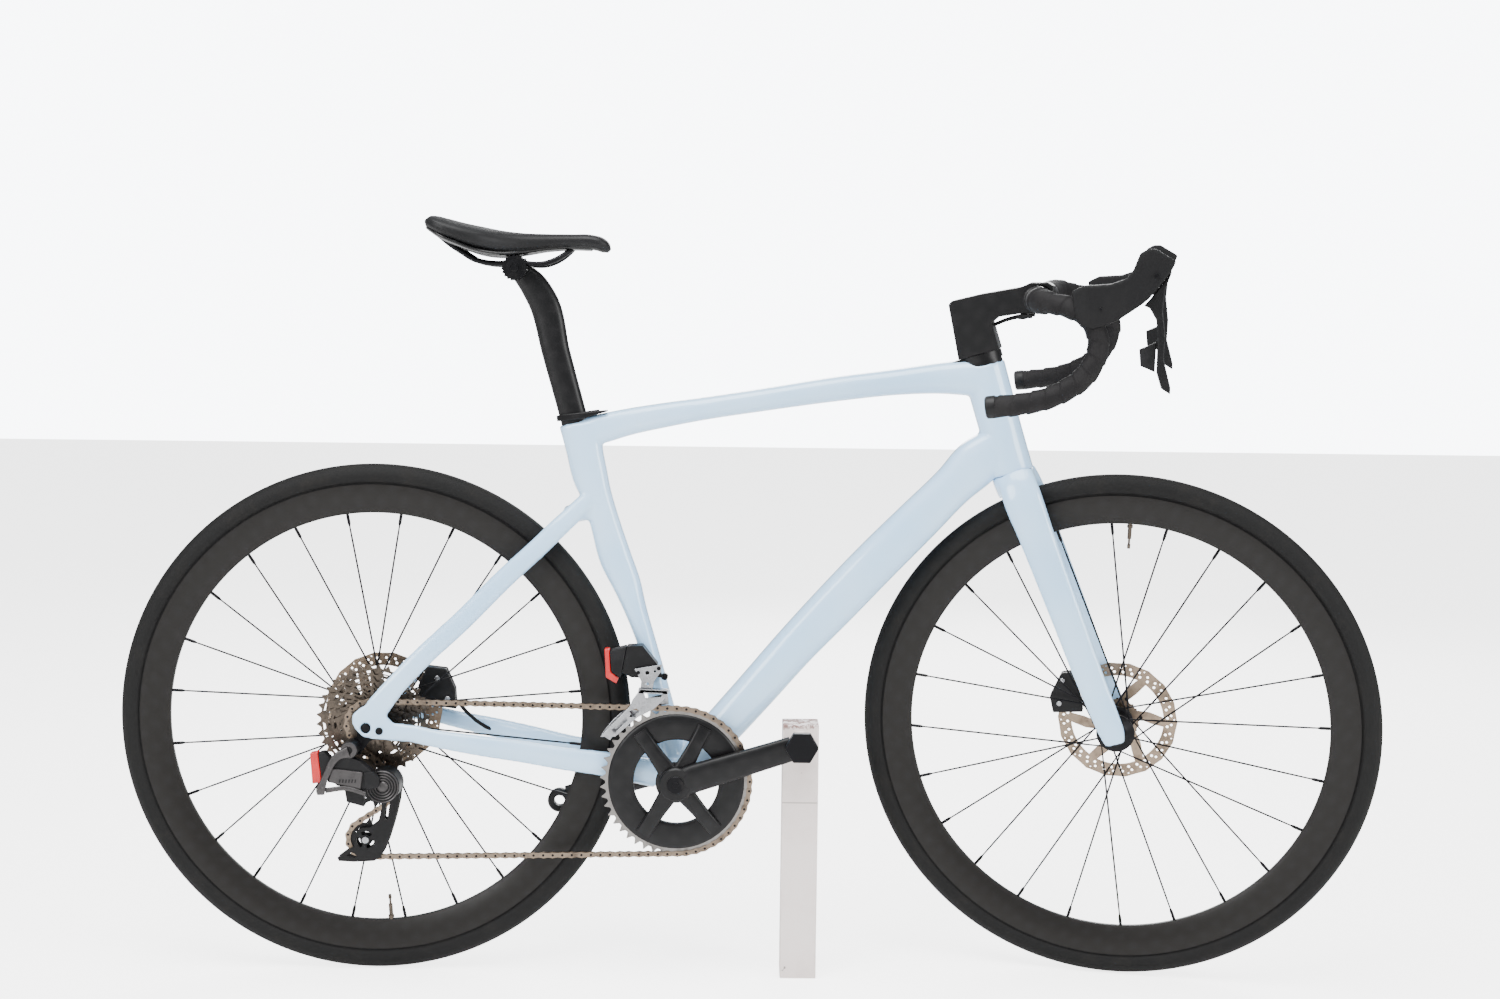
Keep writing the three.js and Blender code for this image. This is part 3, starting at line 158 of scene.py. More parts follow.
def rounded_section(sides, exponent):
    """Superellipse: (sgn cos |cos|^(2/n), sgn sin |sin|^(2/n)); n = 2 is round, more is boxier."""
    angle = (np.arange(sides) + 0.5) / sides * TURN
    c, s = np.cos(angle), np.sin(angle)
    power = 2 / exponent
    return np.sign(c) * np.abs(c) ** power, np.sign(s) * np.abs(s) ** power


def smooth_rows(rows, count):
    """Cubic Hermite curve through the rows, evenly spread along the chord length."""
    rows = np.asarray(rows, float)
    gaps = np.linalg.norm(np.diff(rows[:, :3], axis=0), axis=1)
    knots = np.concatenate([[0], np.cumsum(gaps)])
    slopes = np.gradient(rows, knots, axis=0)
    t = np.linspace(0, knots[-1], count)
    k = np.clip(np.searchsorted(knots, t, side="right") - 1, 0, len(gaps) - 1)
    h = gaps[k][:, None]
    u = ((t - knots[k]) / gaps[k])[:, None]
    return (
        rows[k] * (2 * u**3 - 3 * u**2 + 1)
        + slopes[k] * h * (u**3 - 2 * u**2 + u)
        + rows[k + 1] * (3 * u**2 - 2 * u**3)
        + slopes[k + 1] * h * (u**3 - u**2)
    )


def tube(rows, sides=24, exponent=2.0, across=(0, 1, 0), steps=0, swell=None):
    """Rows are x, y, z, half depth, half width. At each row the superellipse stands square to the
    path: centre + depth * upright + width * across. swell(t, angle) adds a height to the skin."""
    rows = np.asarray(rows, float)
    if steps:
        rows = smooth_rows(rows, steps)
    centre = rows[:, :3]
    along = np.gradient(centre, axis=0)
    along /= np.linalg.norm(along, axis=1)[:, None]
    wide = np.broadcast_to(np.asarray(across, float), centre.shape)
    wide = wide - np.sum(wide * along, axis=1)[:, None] * along
    wide = wide / np.linalg.norm(wide, axis=1)[:, None]
    upright = np.cross(wide, along)
    c, s = rounded_section(sides, exponent)
    deep_r = rows[:, 3][:, None] * c
    wide_r = rows[:, 4][:, None] * s
    if swell is not None:
        t = np.concatenate([[0], np.cumsum(np.linalg.norm(np.diff(centre, axis=0), axis=1))])
        angle = (np.arange(sides) + 0.5) / sides * TURN
        lift = swell(t[:, None], angle[None, :])
        deep_r = deep_r + lift * c
        wide_r = wide_r + lift * s
    points = centre[:, None] + deep_r[..., None] * upright[:, None] + wide_r[..., None] * wide[:, None]
    count = len(rows)
    faces = grid_faces(count, sides)
    faces.append(tuple(range(sides))[::-1])
    faces.append(tuple(range((count - 1) * sides, count * sides)))
    return points.reshape(-1, 3), faces


# %% Profile turned about an axle
def turned(x, z, profile, sides=48):
    """The closed profile (radius, y) turned about Y: (x + r cos a, y, z + r sin a)."""
    profile = np.asarray(profile, float)
    a = np.arange(sides) / sides * TURN
    r, y = profile[:, 0], profile[:, 1]
    points = np.stack([
        x + np.outer(np.cos(a), r),
        np.broadcast_to(y, (sides, len(r))),
        z + np.outer(np.sin(a), r),
    ], axis=-1)
    return points.reshape(-1, 3), grid_faces(sides, len(r), wrap_rows=True)


# %% Flat outline given a thickness
def polar(x, z, radius, angle):
    """Corners (x + r cos a, z + r sin a), for one angle or an array of them."""
    return np.stack([x + radius * np.cos(angle), z + radius * np.sin(angle)], axis=-1)


def circle(x, z, radius, sides=24):
    """A round loop of corners."""
    return polar(x, z, radius, np.arange(sides) / sides * TURN)


def sector(x, z, r_in, r_out, a_from, a_to, steps=8):
    """A ring segment's corners: out along the large arc and back along the small one."""
    a = np.linspace(a_from, a_to, steps)
    return np.concatenate([polar(x, z, r_out, a), polar(x, z, r_in, a[::-1])])


def plate(corners, y_low, y_high, holes=()):
    """The outline (x, z) less its holes, filled with triangles on both faces and walled between."""
    loops = [np.asarray(loop, float) for loop in (corners, *holes)]
    flat = np.concatenate(loops)
    total = len(flat)
    fill = tessellate_polygon([[Vector((x, z, 0)) for x, z in loop] for loop in loops])
    low = np.stack([flat[:, 0], np.full(total, y_low), flat[:, 1]], axis=1)
    high = low + np.array([0, y_high - y_low, 0])
    faces = [tuple(f) for f in fill] + [tuple(i + total for i in reversed(f)) for f in fill]
    first = 0
    for loop in loops:
        n = len(loop)
        faces += [
            (first + i, first + (i + 1) % n, total + first + (i + 1) % n, total + first + i)
            for i in range(n)
        ]
        first += n
    return np.concatenate([low, high]), faces


def outward(side, near, far):
    """Two distances from the middle plane as Y on one side of it, the lower first."""
    return sorted((side * near, side * far))


def joined(shapes):
    """Several shapes as one: each one's face numbers move up by the points before it."""
    points, faces, first = [], [], 0
    for p, f in shapes:
        points.append(p)
        faces += [tuple(i + first for i in face) for face in f]
        first += len(p)
    return np.concatenate(points), faces


def bar_y(x, z, radius, y_low, y_high, sides=32, edge=0.5):
    """A round bar along Y with a small chamfer at each end."""
    r = radius
    e = min(edge, radius / 3)
    profile = [(0, y_low), (r - e, y_low), (r, y_low + e), (r, y_high - e), (r - e, y_high), (0, y_high)]
    return turned(x, z, profile, sides)


# %% From a shape to a piece of the bicycle
# Points closer than this, in metres, become one.
MERGE = 2e-6


def tidy(mesh):
    """Close seams and poles, and turn the faces outwards."""
    work = bmesh.new()
    work.from_mesh(mesh)
    bmesh.ops.remove_doubles(work, verts=work.verts, dist=MERGE)
    bmesh.ops.dissolve_degenerate(work, edges=work.edges, dist=MERGE / 2)
    bmesh.ops.recalc_face_normals(work, faces=work.faces)
    work.to_mesh(mesh)
    work.free()


def finish_piece(name, mesh, body, finish, replaces, sharp=35):
    """Smooth shading up to the sharp angle, a finish (its material; the slot that the finish names is
    not used), and the body that the piece rides on."""
    material, slot = finish
    piece = bpy.data.objects.new(name, mesh)
    bpy.context.scene.collection.objects.link(piece)
    mesh.materials.clear()
    mesh.materials.append(material)
    mesh.shade_smooth()
    mesh.set_sharp_from_angle(angle=math.radians(sharp))
    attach(piece, body)
    if replaces:
        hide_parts(*replaces)
    return piece


def raw_mesh(name, shapes, turn=False):
    """Joined shapes in bicycle millimetres as one closed mesh, turned with the fork where asked."""
    points, faces = joined(shapes)
    if turn:
        points = steer(points)
    mesh = bpy.data.meshes.new(name)
    mesh.from_pydata(metres(points).tolist(), [], faces)
    tidy(mesh)
    return mesh


def make(name, shapes, body, finish, replaces=(), turn=False, sharp=35):
    """Joined shapes as one named piece."""
    mesh = raw_mesh(name, shapes, turn)
    piece = finish_piece(name, mesh, body, finish, replaces, sharp)
    print(name, len(mesh.polygons), "faces")
    return piece


def bevel(piece, width_mm, segments=2, angle=30):
    """Rounded edges, as every moulded or machined edge has."""
    modifier = piece.modifiers.new("edges", "BEVEL")
    modifier.width = width_mm / 1000
    modifier.segments = segments
    modifier.limit_method = "ANGLE"
    modifier.angle_limit = math.radians(angle)
    return piece


def evaluated_mesh(piece):
    """The mesh that a piece's modifiers make."""
    view = piece.evaluated_get(bpy.context.evaluated_depsgraph_get())
    return bpy.data.meshes.new_from_object(view)


def solid_copy(name, node):
    """A merged copy of a solid part's mesh, with its flat faces made whole."""
    work = bmesh.new()
    work.from_mesh(frame["nodes"][node].data)
    bmesh.ops.remove_doubles(work, verts=work.verts, dist=MERGE)
    bmesh.ops.dissolve_limit(work, angle_limit=math.radians(1), verts=work.verts, edges=work.edges)
    mesh = bpy.data.meshes.new(name)
    work.to_mesh(mesh)
    work.free()
    return mesh


def edged(name, node, finish, width_mm=0.8, segments=2):
    """A solid part with rounded edges."""
    body = frame["nodes"][node]["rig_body"]
    piece = finish_piece(name, solid_copy(name, node), body, finish, [node], sharp=30)
    return bevel(piece, width_mm, segments)


print("shape tools ready")

# %% [markdown]
# ## Skin over several tubes
# A carbon frame has no welds: one skin flows from tube to tube. Subdivision surfaces would need a
# hand-built cage at each junction. Here the tubes are simply laid through one another, a voxel
# remesh keeps only the outer skin, and a two-way smoothing rounds the joints without shrinking it.

# %% One skin, smoothed without shrinking
def relaxed(mesh, passes, pull=0.5, push=-0.53):
    """Taubin smoothing: p += k (mean of neighbours - p), with k = pull, then k = push."""
    count = len(mesh.vertices)
    p = np.empty(count * 3)
    mesh.vertices.foreach_get("co", p)
    p = p.reshape(-1, 3)
    edges = np.empty(len(mesh.edges) * 2, int)
    mesh.edges.foreach_get("vertices", edges)
    a, b = edges.reshape(-1, 2).T
    degree = np.maximum(np.bincount(np.concatenate([a, b]), minlength=count), 1)[:, None]
    for k in [pull, push] * passes:
        total = np.stack([
            np.bincount(a, p[b, i], count) + np.bincount(b, p[a, i], count) for i in range(3)
        ], axis=1)
        p = p + k * (total / degree - p)
    mesh.vertices.foreach_set("co", p.ravel())
    mesh.update()


def one_skin(name, mesh, voxel_mm, passes, body, finish, replaces):
    """The outer skin of everything in the mesh as one smooth piece."""
    rough = bpy.data.objects.new(name + "_rough", mesh)
    bpy.context.scene.collection.objects.link(rough)
    modifier = rough.modifiers.new("skin", "REMESH")
    modifier.mode = "VOXEL"
    modifier.voxel_size = voxel_mm / 1000
    skin = evaluated_mesh(rough)
    bpy.data.objects.remove(rough)
    skin.name = name
    relaxed(skin, passes)
    piece = finish_piece(name, skin, body, finish, replaces, sharp=60)
    print(name, len(skin.polygons), "faces")
    return piece


# %% [markdown]
# ## Shader maths in plain Python
# A material is a graph of nodes. Building it node by node hides the idea, so a small class wraps a
# socket and lets ordinary expressions such as 1 - mask * 0.5 add the Math nodes themselves.

# %% Sockets that can be added and multiplied
class Signal:
    """A number that varies over the surface."""

    def __init__(self, recipe, socket):
        self.recipe = recipe
        self.socket = socket

    def maths(self, operation, *values):
        return self.recipe.node("ShaderNodeMath", {"operation": operation}, dict(enumerate(values)))

    def __add__(self, other):
        return self.maths("ADD", self, other)

    def __sub__(self, other):
        return self.maths("SUBTRACT", self, other)

    def __rsub__(self, other):
        return self.maths("SUBTRACT", other, self)

    def __mul__(self, other):
        return self.maths("MULTIPLY", self, other)

    __radd__ = __add__
    __rmul__ = __mul__

    def step(self, low, high):
        """0 below low, 1 above high, smooth between."""
        settings = {"interpolation_type": "SMOOTHSTEP"}
        return self.recipe.node("ShaderNodeMapRange", settings, {0: self, 1: low, 2: high})


class Recipe:
    def __init__(self, name):
        self.material = bpy.data.materials.new(name)
        self.material.use_nodes = True
        self.tree = self.material.node_tree
        self.shader = self.tree.nodes["Principled BSDF"]

    def plug(self, socket, value):
        if isinstance(value, Signal):
            self.tree.links.new(value.socket, socket)
        else:
            socket.default_value = value

    def node(self, kind, settings=None, inputs=None, out=0):
        node = self.tree.nodes.new(kind)
        for key, value in (settings or {}).items():
            if key == "stops":
                for element, (place, colour) in zip(node.color_ramp.elements, value):
                    element.position, element.color = place, colour
            else:
                setattr(node, key, value)
        for key, value in (inputs or {}).items():
            self.plug(node.inputs[key], value)
        return Signal(self, node.outputs[out])

    def place(self, scale=(1, 1, 1)):
        """Object coordinates, stretched."""
        here = self.node("ShaderNodeTexCoord", out="Object")
        return self.node("ShaderNodeMapping", inputs={"Vector": here, "Scale": scale})

    def noise(self, scale, detail=3.0, stretch=(1, 1, 1), rough=0.5):
        inputs = {"Vector": self.place(stretch), "Scale": scale, "Detail": detail, "Roughness": rough}
        return self.node("ShaderNodeTexNoise", inputs=inputs)

    def cells(self, scale):
        """Small round cells, as in pimpled rubber or leather grain."""
        return self.node("ShaderNodeTexVoronoi", inputs={"Vector": self.place(), "Scale": scale})

    def blend(self, mask, first, second):
        """first where the mask is 0, second where it is 1."""
        settings = {"data_type": "RGBA"}
        start = first if isinstance(first, Signal) else (*first, 1)
        return self.node("ShaderNodeMix", settings, {0: mask, 6: start, 7: (*second, 1)}, out=2)

    def bump(self, height, distance_mm, strength=1.0):
        inputs = {"Strength": strength, "Distance": distance_mm / 1000, "Height": height}
        return self.node("ShaderNodeBump", inputs=inputs)

    def finish(self, **sockets):
        for name, value in sockets.items():
            self.plug(self.shader.inputs[name.replace("_", " ")], value)
        return self.material


def shade(red, green, blue):
    """Display values 0-255 to the linear numbers that a shader takes."""
    v = np.array([red, green, blue]) / 255
    return tuple(np.where(v <= 0.04045, v / 12.92, ((v + 0.055) / 1.055) ** 2.4).tolist())


# %% [markdown]
# ## Finishes
# Paint is a colour under a clear glossy coat, with the faint ripple that sprayed lacquer dries to and
# a little dust. Carbon is nearly black with a satin lacquer over a fine weave. Rubber, tape and the
# saddle's skin are all black too, so only their grain and sheen tell them apart: each gets its own.

# %% Pale blue lacquered paint
def blue_paint():
    r = Recipe("pale_blue_lacquer")
    cloud = r.noise(6, 2)
    ripple = r.noise(380, 2)
    dust = r.noise(55, 6, rough=0.7).step(0.58, 0.8)
    base = r.blend(cloud.step(0.35, 0.7), shade(168, 208, 242), shade(182, 216, 245))
    colour = r.blend(dust * 0.25, base, shade(205, 215, 222))
    return r.finish(
        Base_Color=colour,
        Roughness=0.3 + dust * 0.2,
        Coat_Weight=0.8,
        Coat_Roughness=0.06,
        Normal=r.bump(ripple, 0.02, 0.5),
    )


# %% Satin carbon, with a fine weave under the lacquer
def weave(r, pitch_mm):
    """Two crossed waves whose product checks over and under, as a plain weave does."""
    scale = 1000 / pitch_mm / 2
    waves = [
        r.node("ShaderNodeTexWave", {"bands_direction": "DIAGONAL"},
               {"Vector": r.place((lean, 1, 1)), "Scale": scale / 10, "Distortion": 0.4})
        for lean in (1, -1)
    ]
    return waves[0] * waves[1]


def satin_carbon(name="satin_carbon", roughness=0.38, coat=0.06, tint=(9, 9, 10)):
    r = Recipe(name)
    cloth = weave(r, 2.4)
    scuffs = r.noise(40, 6, (1, 1, 4), 0.65).step(0.5, 0.8)
    colour = r.blend(cloth * 0.35 + scuffs * 0.15, shade(*tint), shade(26, 25, 26))
    return r.finish(
        Base_Color=colour,
        Roughness=roughness + scuffs * 0.15,
        Specular_IOR_Level=0.2,
        Coat_Weight=coat,
        Coat_Roughness=0.25,
        Normal=r.bump(cloth, 0.02, 0.3),
    )


# %% Black anodised metal
def dark_metal():
    r = Recipe("black_anodised_aluminium")
    lines = r.noise(120, 4, (1, 6, 1))
    rub = r.noise(60, 5).step(0.55, 0.8)
    colour = r.blend(rub * 0.4, shade(20, 20, 22), shade(62, 60, 58))
    return r.finish(Base_Color=colour, Metallic=0.85, Roughness=0.34 + lines * 0.15,
                    Normal=r.bump(lines, 0.02, 0.3))


# %% Bare metals
def bare_metal(name, light, dark, roughness, dirt):
    """Brushed metal whose hollows hold old oil: the dirt mask browns and dulls it."""
    r = Recipe(name)
    brush = r.noise(150, 4, (1, 8, 1))
    grime = r.noise(70, 6, rough=0.7).step(0.45, 0.75)
    colour = r.blend(grime * dirt, shade(*light), shade(*dark))
    return r.finish(Base_Color=colour, Metallic=1.0 - grime * dirt * 0.5,
                    Roughness=roughness + grime * 0.25, Normal=r.bump(brush, 0.02, 0.35))


# %% Black plastic, rubber, tape and the saddle's skin
def worn_black(name, grain, patch, dark, light, share, roughness, change, specular=0.2, relief=0.05,
               strength=0.4):
    """Near-black that use has lightened in patches. patch is a noise's scale, detail and roughness and
    the two values between which it sets in; share and change are what it does to the tone and the
    roughness. grain is a noise's scale and detail, or one number for cells."""
    r = Recipe(name)
    height = r.noise(*grain) if isinstance(grain, tuple) else r.cells(grain)
    scale, detail, rough, low, high = patch
    worn = r.noise(scale, detail, rough=rough).step(low, high)
    return r.finish(
        Base_Color=r.blend(worn * share, shade(*dark), shade(*light)),
        Roughness=roughness + worn * change,
        Specular_IOR_Level=specular,
        Normal=r.bump(height, relief, strength),
    )


# %% Red latches
def red_plastic():
    r = Recipe("red_latch_plastic")
    tone = r.noise(60, 3)
    colour = r.blend(tone.step(0.4, 0.7), shade(176, 0, 2), shade(196, 2, 6))
    return r.finish(Base_Color=colour, Roughness=0.3 + tone * 0.1, Coat_Weight=0.3)


# %% Chipped white paint of the post
def post_paint(top_m):
    """White paint that is knocked off near the top edge and marked with small dark specks."""
    r = Recipe("chipped_white_paint")
    here = r.node("ShaderNodeTexCoord", out="Object")
    height = r.node("ShaderNodeSeparateXYZ", inputs={0: here}, out="Z")
    brush = r.noise(26, 4, (6, 6, 1))
    edge = height.step(top_m - 0.012, top_m + 0.001)
    chips = (r.noise(85, 6, rough=0.7) + edge * 0.2).step(0.66, 0.72)
    specks = r.noise(70, 2).step(0.74, 0.765)
    soil = r.noise(9, 5, rough=0.6).step(0.4, 0.8)
    off_seam = height - (top_m - 0.104)
    seam = off_seam.maths("ABSOLUTE", off_seam).step(0.0004, 0.0011)
    white = r.blend(soil * 0.55, shade(222, 212, 208), shade(186, 172, 166))
    marked = r.blend(specks * 0.8, white, shade(74, 66, 62))
    chipped = r.blend(chips * edge, marked, shade(120, 84, 76))
    colour = r.blend((1 - seam) * 0.7, chipped, shade(120, 114, 108))
    return r.finish(Base_Color=colour, Roughness=0.6 + soil * 0.15,
                    Normal=r.bump(brush + seam * 2 - chips * edge * 2, 0.15, 0.5))


# %% All the finishes: a material and the slot that it belongs to
PAINT = (blue_paint(), "frame_paint")
CARBON = (satin_carbon(), "carbon")
RIM_CARBON = (satin_carbon("rim_carbon", 0.45, 0.04, (18, 16, 14)), "carbon")
GLOSS = (satin_carbon("gloss_carbon", 0.25, 0.3), "carbon")
RING_BLACK = (CARBON[0], "dark_metal")
DARK = (dark_metal(), "dark_metal")
STEEL = (bare_metal("oily_gear_steel", (86, 78, 70), (20, 16, 12), 0.3, 0.9), "steel")
CHAIN_STEEL = (bare_metal("chain_steel", (126, 112, 98), (56, 44, 34), 0.3, 0.7), "steel")
RING_STEEL = (bare_metal("ring_steel", (128, 125, 122), (70, 64, 58), 0.3, 0.6), "silver")
GREY_METAL = (bare_metal("grey_anodised", (74, 72, 72), (36, 35, 35), 0.4, 0.5), "dark_metal")
ROTOR_STEEL = (bare_metal("rotor_steel", (140, 124, 108), (84, 66, 52), 0.32, 0.5), "steel")
SILVER = (bare_metal("bright_aluminium", (158, 159, 162), (92, 90, 88), 0.24, 0.45), "silver")
PLASTIC = (
    worn_black("moulded_black_plastic", (900, 2), (35, 5, 0.5, 0.5, 0.75), (11, 11, 12), (28, 28, 30),
               share=0.5, roughness=0.42, change=0.2),
    "black_plastic",
)
PLUG_PLASTIC = (PLASTIC[0], "rubber")
TYRE = (
    worn_black("tyre_rubber", (700, 3), (30, 6, 0.7, 0.45, 0.8), (13, 13, 13), (34, 32, 30),
               share=0.6, roughness=0.72, change=0.15, relief=0.12, strength=0.5),
    "tyre",
)
HOOD = (
    worn_black("hood_rubber", 420.0, (30, 4, 0.5, 0.5, 0.8), (16, 16, 17), (31, 30, 30),
               share=0.4, roughness=0.62, change=0.12, specular=0.15, relief=0.12, strength=0.35),
    "rubber",
)
TAPE = (
    worn_black("handlebar_tape", (1100, 3), (45, 5, 0.5, 0.4, 0.75), (20, 19, 20), (38, 37, 37),
               share=0.5, roughness=0.66, change=0.12, specular=0.15, relief=0.15, strength=0.5),
    "rubber",
)
SKIN = (
    worn_black("saddle_skin", 900.0, (18, 4, 0.5, 0.4, 0.7), (14, 14, 15), (28, 28, 30),
               share=0.4, roughness=0.55, change=-0.12, relief=0.06),
    "saddle_skin",
)
RED = (red_plastic(), "red_plastic")
POST_PAINT = (post_paint(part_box("stand_post")[1].z), "post_paint")
print("finishes:", len(bpy.data.materials))

# %% [markdown]
# ## The frame
# The front triangle, both pairs of stays and the dropouts are one painted carbon moulding to the eye.
# The tubes are deep in the side view and narrow from the front, with flattened sides, and each is
# written as a handful of stations. The down tube and head tube are the fattest, the seat stays
# the slimmest, and the seat tube narrows where it bows round the rear tyre.

# %% Stations of the frame tubes: x, y, z, half depth, half width
BB = (403.0, 268.0)
AXLE = (0.0, WHEEL_R)
SOCKET = (18.0, 337.0)
AXLE_HOLE_R = 6.6
TOP_TUBE = [
    [258, 0, 719.5, 19, 12.5], [300, 0, 730, 19.5, 13.5], [330, 0, 738, 18, 15], [386, 0, 749.3, 16.2, 16.5],
    [430, 0, 757, 15, 18], [509, 0, 769.8, 15, 19], [614, 0, 786.5, 16.4, 20], [692, 0, 796.3, 17.4, 21],
    [745, 0, 801.5, 20.5, 22], [795, 0, 803, 25, 22.5],
]
DOWN_TUBE = [
    [820, 0, 712, 26, 23], [798, 0, 692, 31.5, 23], [765.6, 0, 659.6, 28, 22.5], [720, 0, 613, 29, 22.5],
    [664.6, 0, 556.5, 29.8, 22.5], [610, 0, 498, 29.6, 23], [558.7, 0, 442.6, 28, 23.5],
    [504, 0, 379, 27, 25.5], [450, 0, 318, 25.5, 29], [412, 0, 277, 22, 33],
]
SEAT_TUBE = [
    [270.5, 0, 737, 28.2, 15.6], [276, 0, 703, 24.4, 16], [284.5, 0, 665, 23.2, 15.5],
    [293, 0, 640, 20, 15], [303, 0, 608, 19.6, 14.5], [319, 0, 556, 21.4, 14.5], [333, 0, 524, 19, 15.5],
    [345, 0, 490, 15, 17], [362, 0, 440, 12.5, 18], [380, 0, 365, 16, 24], [403, 0, 268, 20, 33],
]
SEAT_STAY = [
    [284, 7, 637, 12, 8.5], [262, 15, 616, 12.4, 8.5], [240, 25, 595, 12.8, 8], [226, 29, 581, 12.8, 8],
    [174, 44, 532, 13.2, 7.5], [122, 57, 479, 13.4, 7], [70, 69, 430, 13.4, 6.4], [35, 75, 392, 13.8, 5.4],
    [12, 76.2, 362, 15.4, 4.6], [4, 76.4, 349, 14, 4],
]
CHAIN_STAY = [
    [6, 76.2, 339, 10.5, 4], [20, 75.8, 336.5, 11.4, 4.5], [60, 74.5, 333, 11.4, 5.3],
    [86, 72, 327, 11.5, 6.3], [148, 63.5, 315.5, 13.4, 7.3], [201, 52, 306, 14.4, 7.3],
    [253, 42.5, 295.5, 15, 7.8], [305, 32, 287, 16.4, 8.3], [335, 28.5, 281, 17.4, 9],
    [376, 26, 273, 18.4, 10.4],
]
DROPOUT = [
    [-18, 348], [-13, 338], [-8, 332], [0, 327], [19, 326], [36, 326], [36, 347], [26, 357], [20, 371],
    [8, 374], [-8, 366], [-17, 358],
]


def mirrored(rows, side):
    """The rows with Y times side."""
    return [[x, side * y, *rest] for x, y, *rest in rows]


# %% Head tube between its two bearings
CROWN_TOP = 365.0
HEAD_LOW = 365.6
HEAD_TOP = 521.0
head_rows = [
    [*on_steerer(HEAD_LOW), 28.2, 27.4], [*on_steerer(385), 28.0, 27.0], [*on_steerer(430), 27.8, 25.0],
    [*on_steerer(470), 28.2, 24.0], [*on_steerer(HEAD_TOP - 8), 28.6, 24.0],
]
shell_r, shell_half = 25.5, 42.8
frame_shapes = [
    tube(head_rows, 40, 2.15, steps=30),
    tube(TOP_TUBE, 36, 2.7, steps=90),
    tube(DOWN_TUBE, 36, 2.8, steps=90),
    tube(SEAT_TUBE, 36, 2.5, steps=80),
    bar_y(*BB, shell_r, -shell_half, shell_half, 48, 2),
]
for side in (1, -1):
    frame_shapes.append(tube(mirrored(SEAT_STAY, side), 24, 2.4, steps=70))
    frame_shapes.append(tube(mirrored(CHAIN_STAY, side), 24, 2.4, steps=70))
frame_shapes += [
    plate(DROPOUT, -79.5, -73.4, [circle(*AXLE, AXLE_HOLE_R), circle(*SOCKET, 4.8)]),
    plate(DROPOUT, 71.4, 79.4, [circle(*AXLE, AXLE_HOLE_R)]),
    tube([[252, 0, 614, 12, 18], [288, 0, 622, 12, 12]], 20, 3),
    tube([[351, 0, 275, 13, 24], [380, 0, 272, 14, 24]], 20, 3),
]
one_skin(
    "frame_skin", raw_mesh("frame_tubes", frame_shapes), 2.7, 9, "frame", PAINT,
    ["front_triangle", "seat_stays", "chain_stays"],
)

# %% [markdown]
# ## Fork
# The fork is one more moulding: a crown that is as round as the head tube, two legs that start almost
# as deep as the down tube and taper to the axle, and a steerer that runs up inside the frame. The
# thin dark gap under the head tube is where the lower bearing sits.

# %% Fork legs and crown
FORK_LEG = [
    [850, 17, 674, 24, 14], [853, 24, 667, 24.6, 13], [859, 31, 652, 25.4, 12], [880, 35, 600, 23.4, 10],
    [921, 43.5, 500, 20.8, 8.4], [962, 52, 400, 18.4, 6.6], [979, 55.8, 362, 17.4, 6],
    [987, 56.2, 343, 16, 5.6], [991, 56.2, 331, 12.5, 5.2],
]
crown_rows = [
    [*on_steerer(338), 25, 36], [*on_steerer(350), 27, 34], [*on_steerer(CROWN_TOP - 4), 28, 29],
    [*on_steerer(CROWN_TOP), 28, 27.6],
]
fork_shapes = [
    tube(crown_rows, 40, 2.3, steps=12),
    tube(FORK_LEG, 28, 2.5, steps=80),
    tube(mirrored(FORK_LEG, -1), 28, 2.5, steps=80),
]
fork_mesh = raw_mesh("fork_tubes", fork_shapes, turn=True)
one_skin("fork_skin", fork_mesh, 2.2, 8, "steering", PAINT, ["fork"])
steerer_rows = [[*on_steerer(CROWN_TOP - 20), 14, 14], [*on_steerer(584), 14, 14]]
make("steerer_tube", [tube(steerer_rows, 32)], "steering", DARK, turn=True)

# %% [markdown]
# ## Headset cover, seat clamp cover and bearings
# These are flat-sided pressed or moulded covers, so their solids already have the right shape. What
# they lack is the small radius on every edge that catches light, and a bevel adds that.

# %% Small frame fittings
edged("headset_cover_moulding", "headset_cover", CARBON, 0.8, 3)
cover_rows = [[*on_steerer(506), 27, 22], [*on_steerer(528.2 - 0.3), 26.4, 21.4]]
make("headset_cover_ring", [tube(cover_rows, 40, 2.4)], "frame", CARBON)
edged("seat_clamp_plate", "seat_clamp_cover", CARBON, 0.6, 2)
wedge = [(240, 746.5), (262, 749.8), (290, 752.6), (306, 754.4), (306.5, 752.6), (274, 743), (241, 739)]
bevel(make("seat_clamp_wedge", [plate(wedge, -14.5, 14.5)], "frame", CARBON), 1.2, 3)
# The second hole beside the axle's is blind: its dark plug, a little below the surface, is painted
# shade at the bottom of the hole.
make("dropout_hole_shade", [bar_y(*SOCKET, 4.9, -81.6, -76, 28, 0.3)], "frame", DARK)
for node in ("headset_bearing_upper", "headset_bearing_lower", "bottom_bracket"):
    edged(node + "_race", node, DARK, 0.4, 1)

# %% [markdown]
# ## Rims, tyres and valves
# A rim is one deep carbon hoop with a hollow heart: its sides bulge outwards and close to a narrow
# inner edge. Turning a profile about the axle gives the whole hoop at once. The tyre is a second
# profile, with a tread a little squarer than a circle and a thin rubbing strip next to the rim.

# %% Profiles of the rim and the tyre
RIM_INNER_R = 275.0
RIM_OUTER_R = 313.0
RIM_HALF = 12.0
TYRE_CENTRE_R = 325.5
TYRE_SECTION_R = 14.4
WHEEL_STEPS = 180


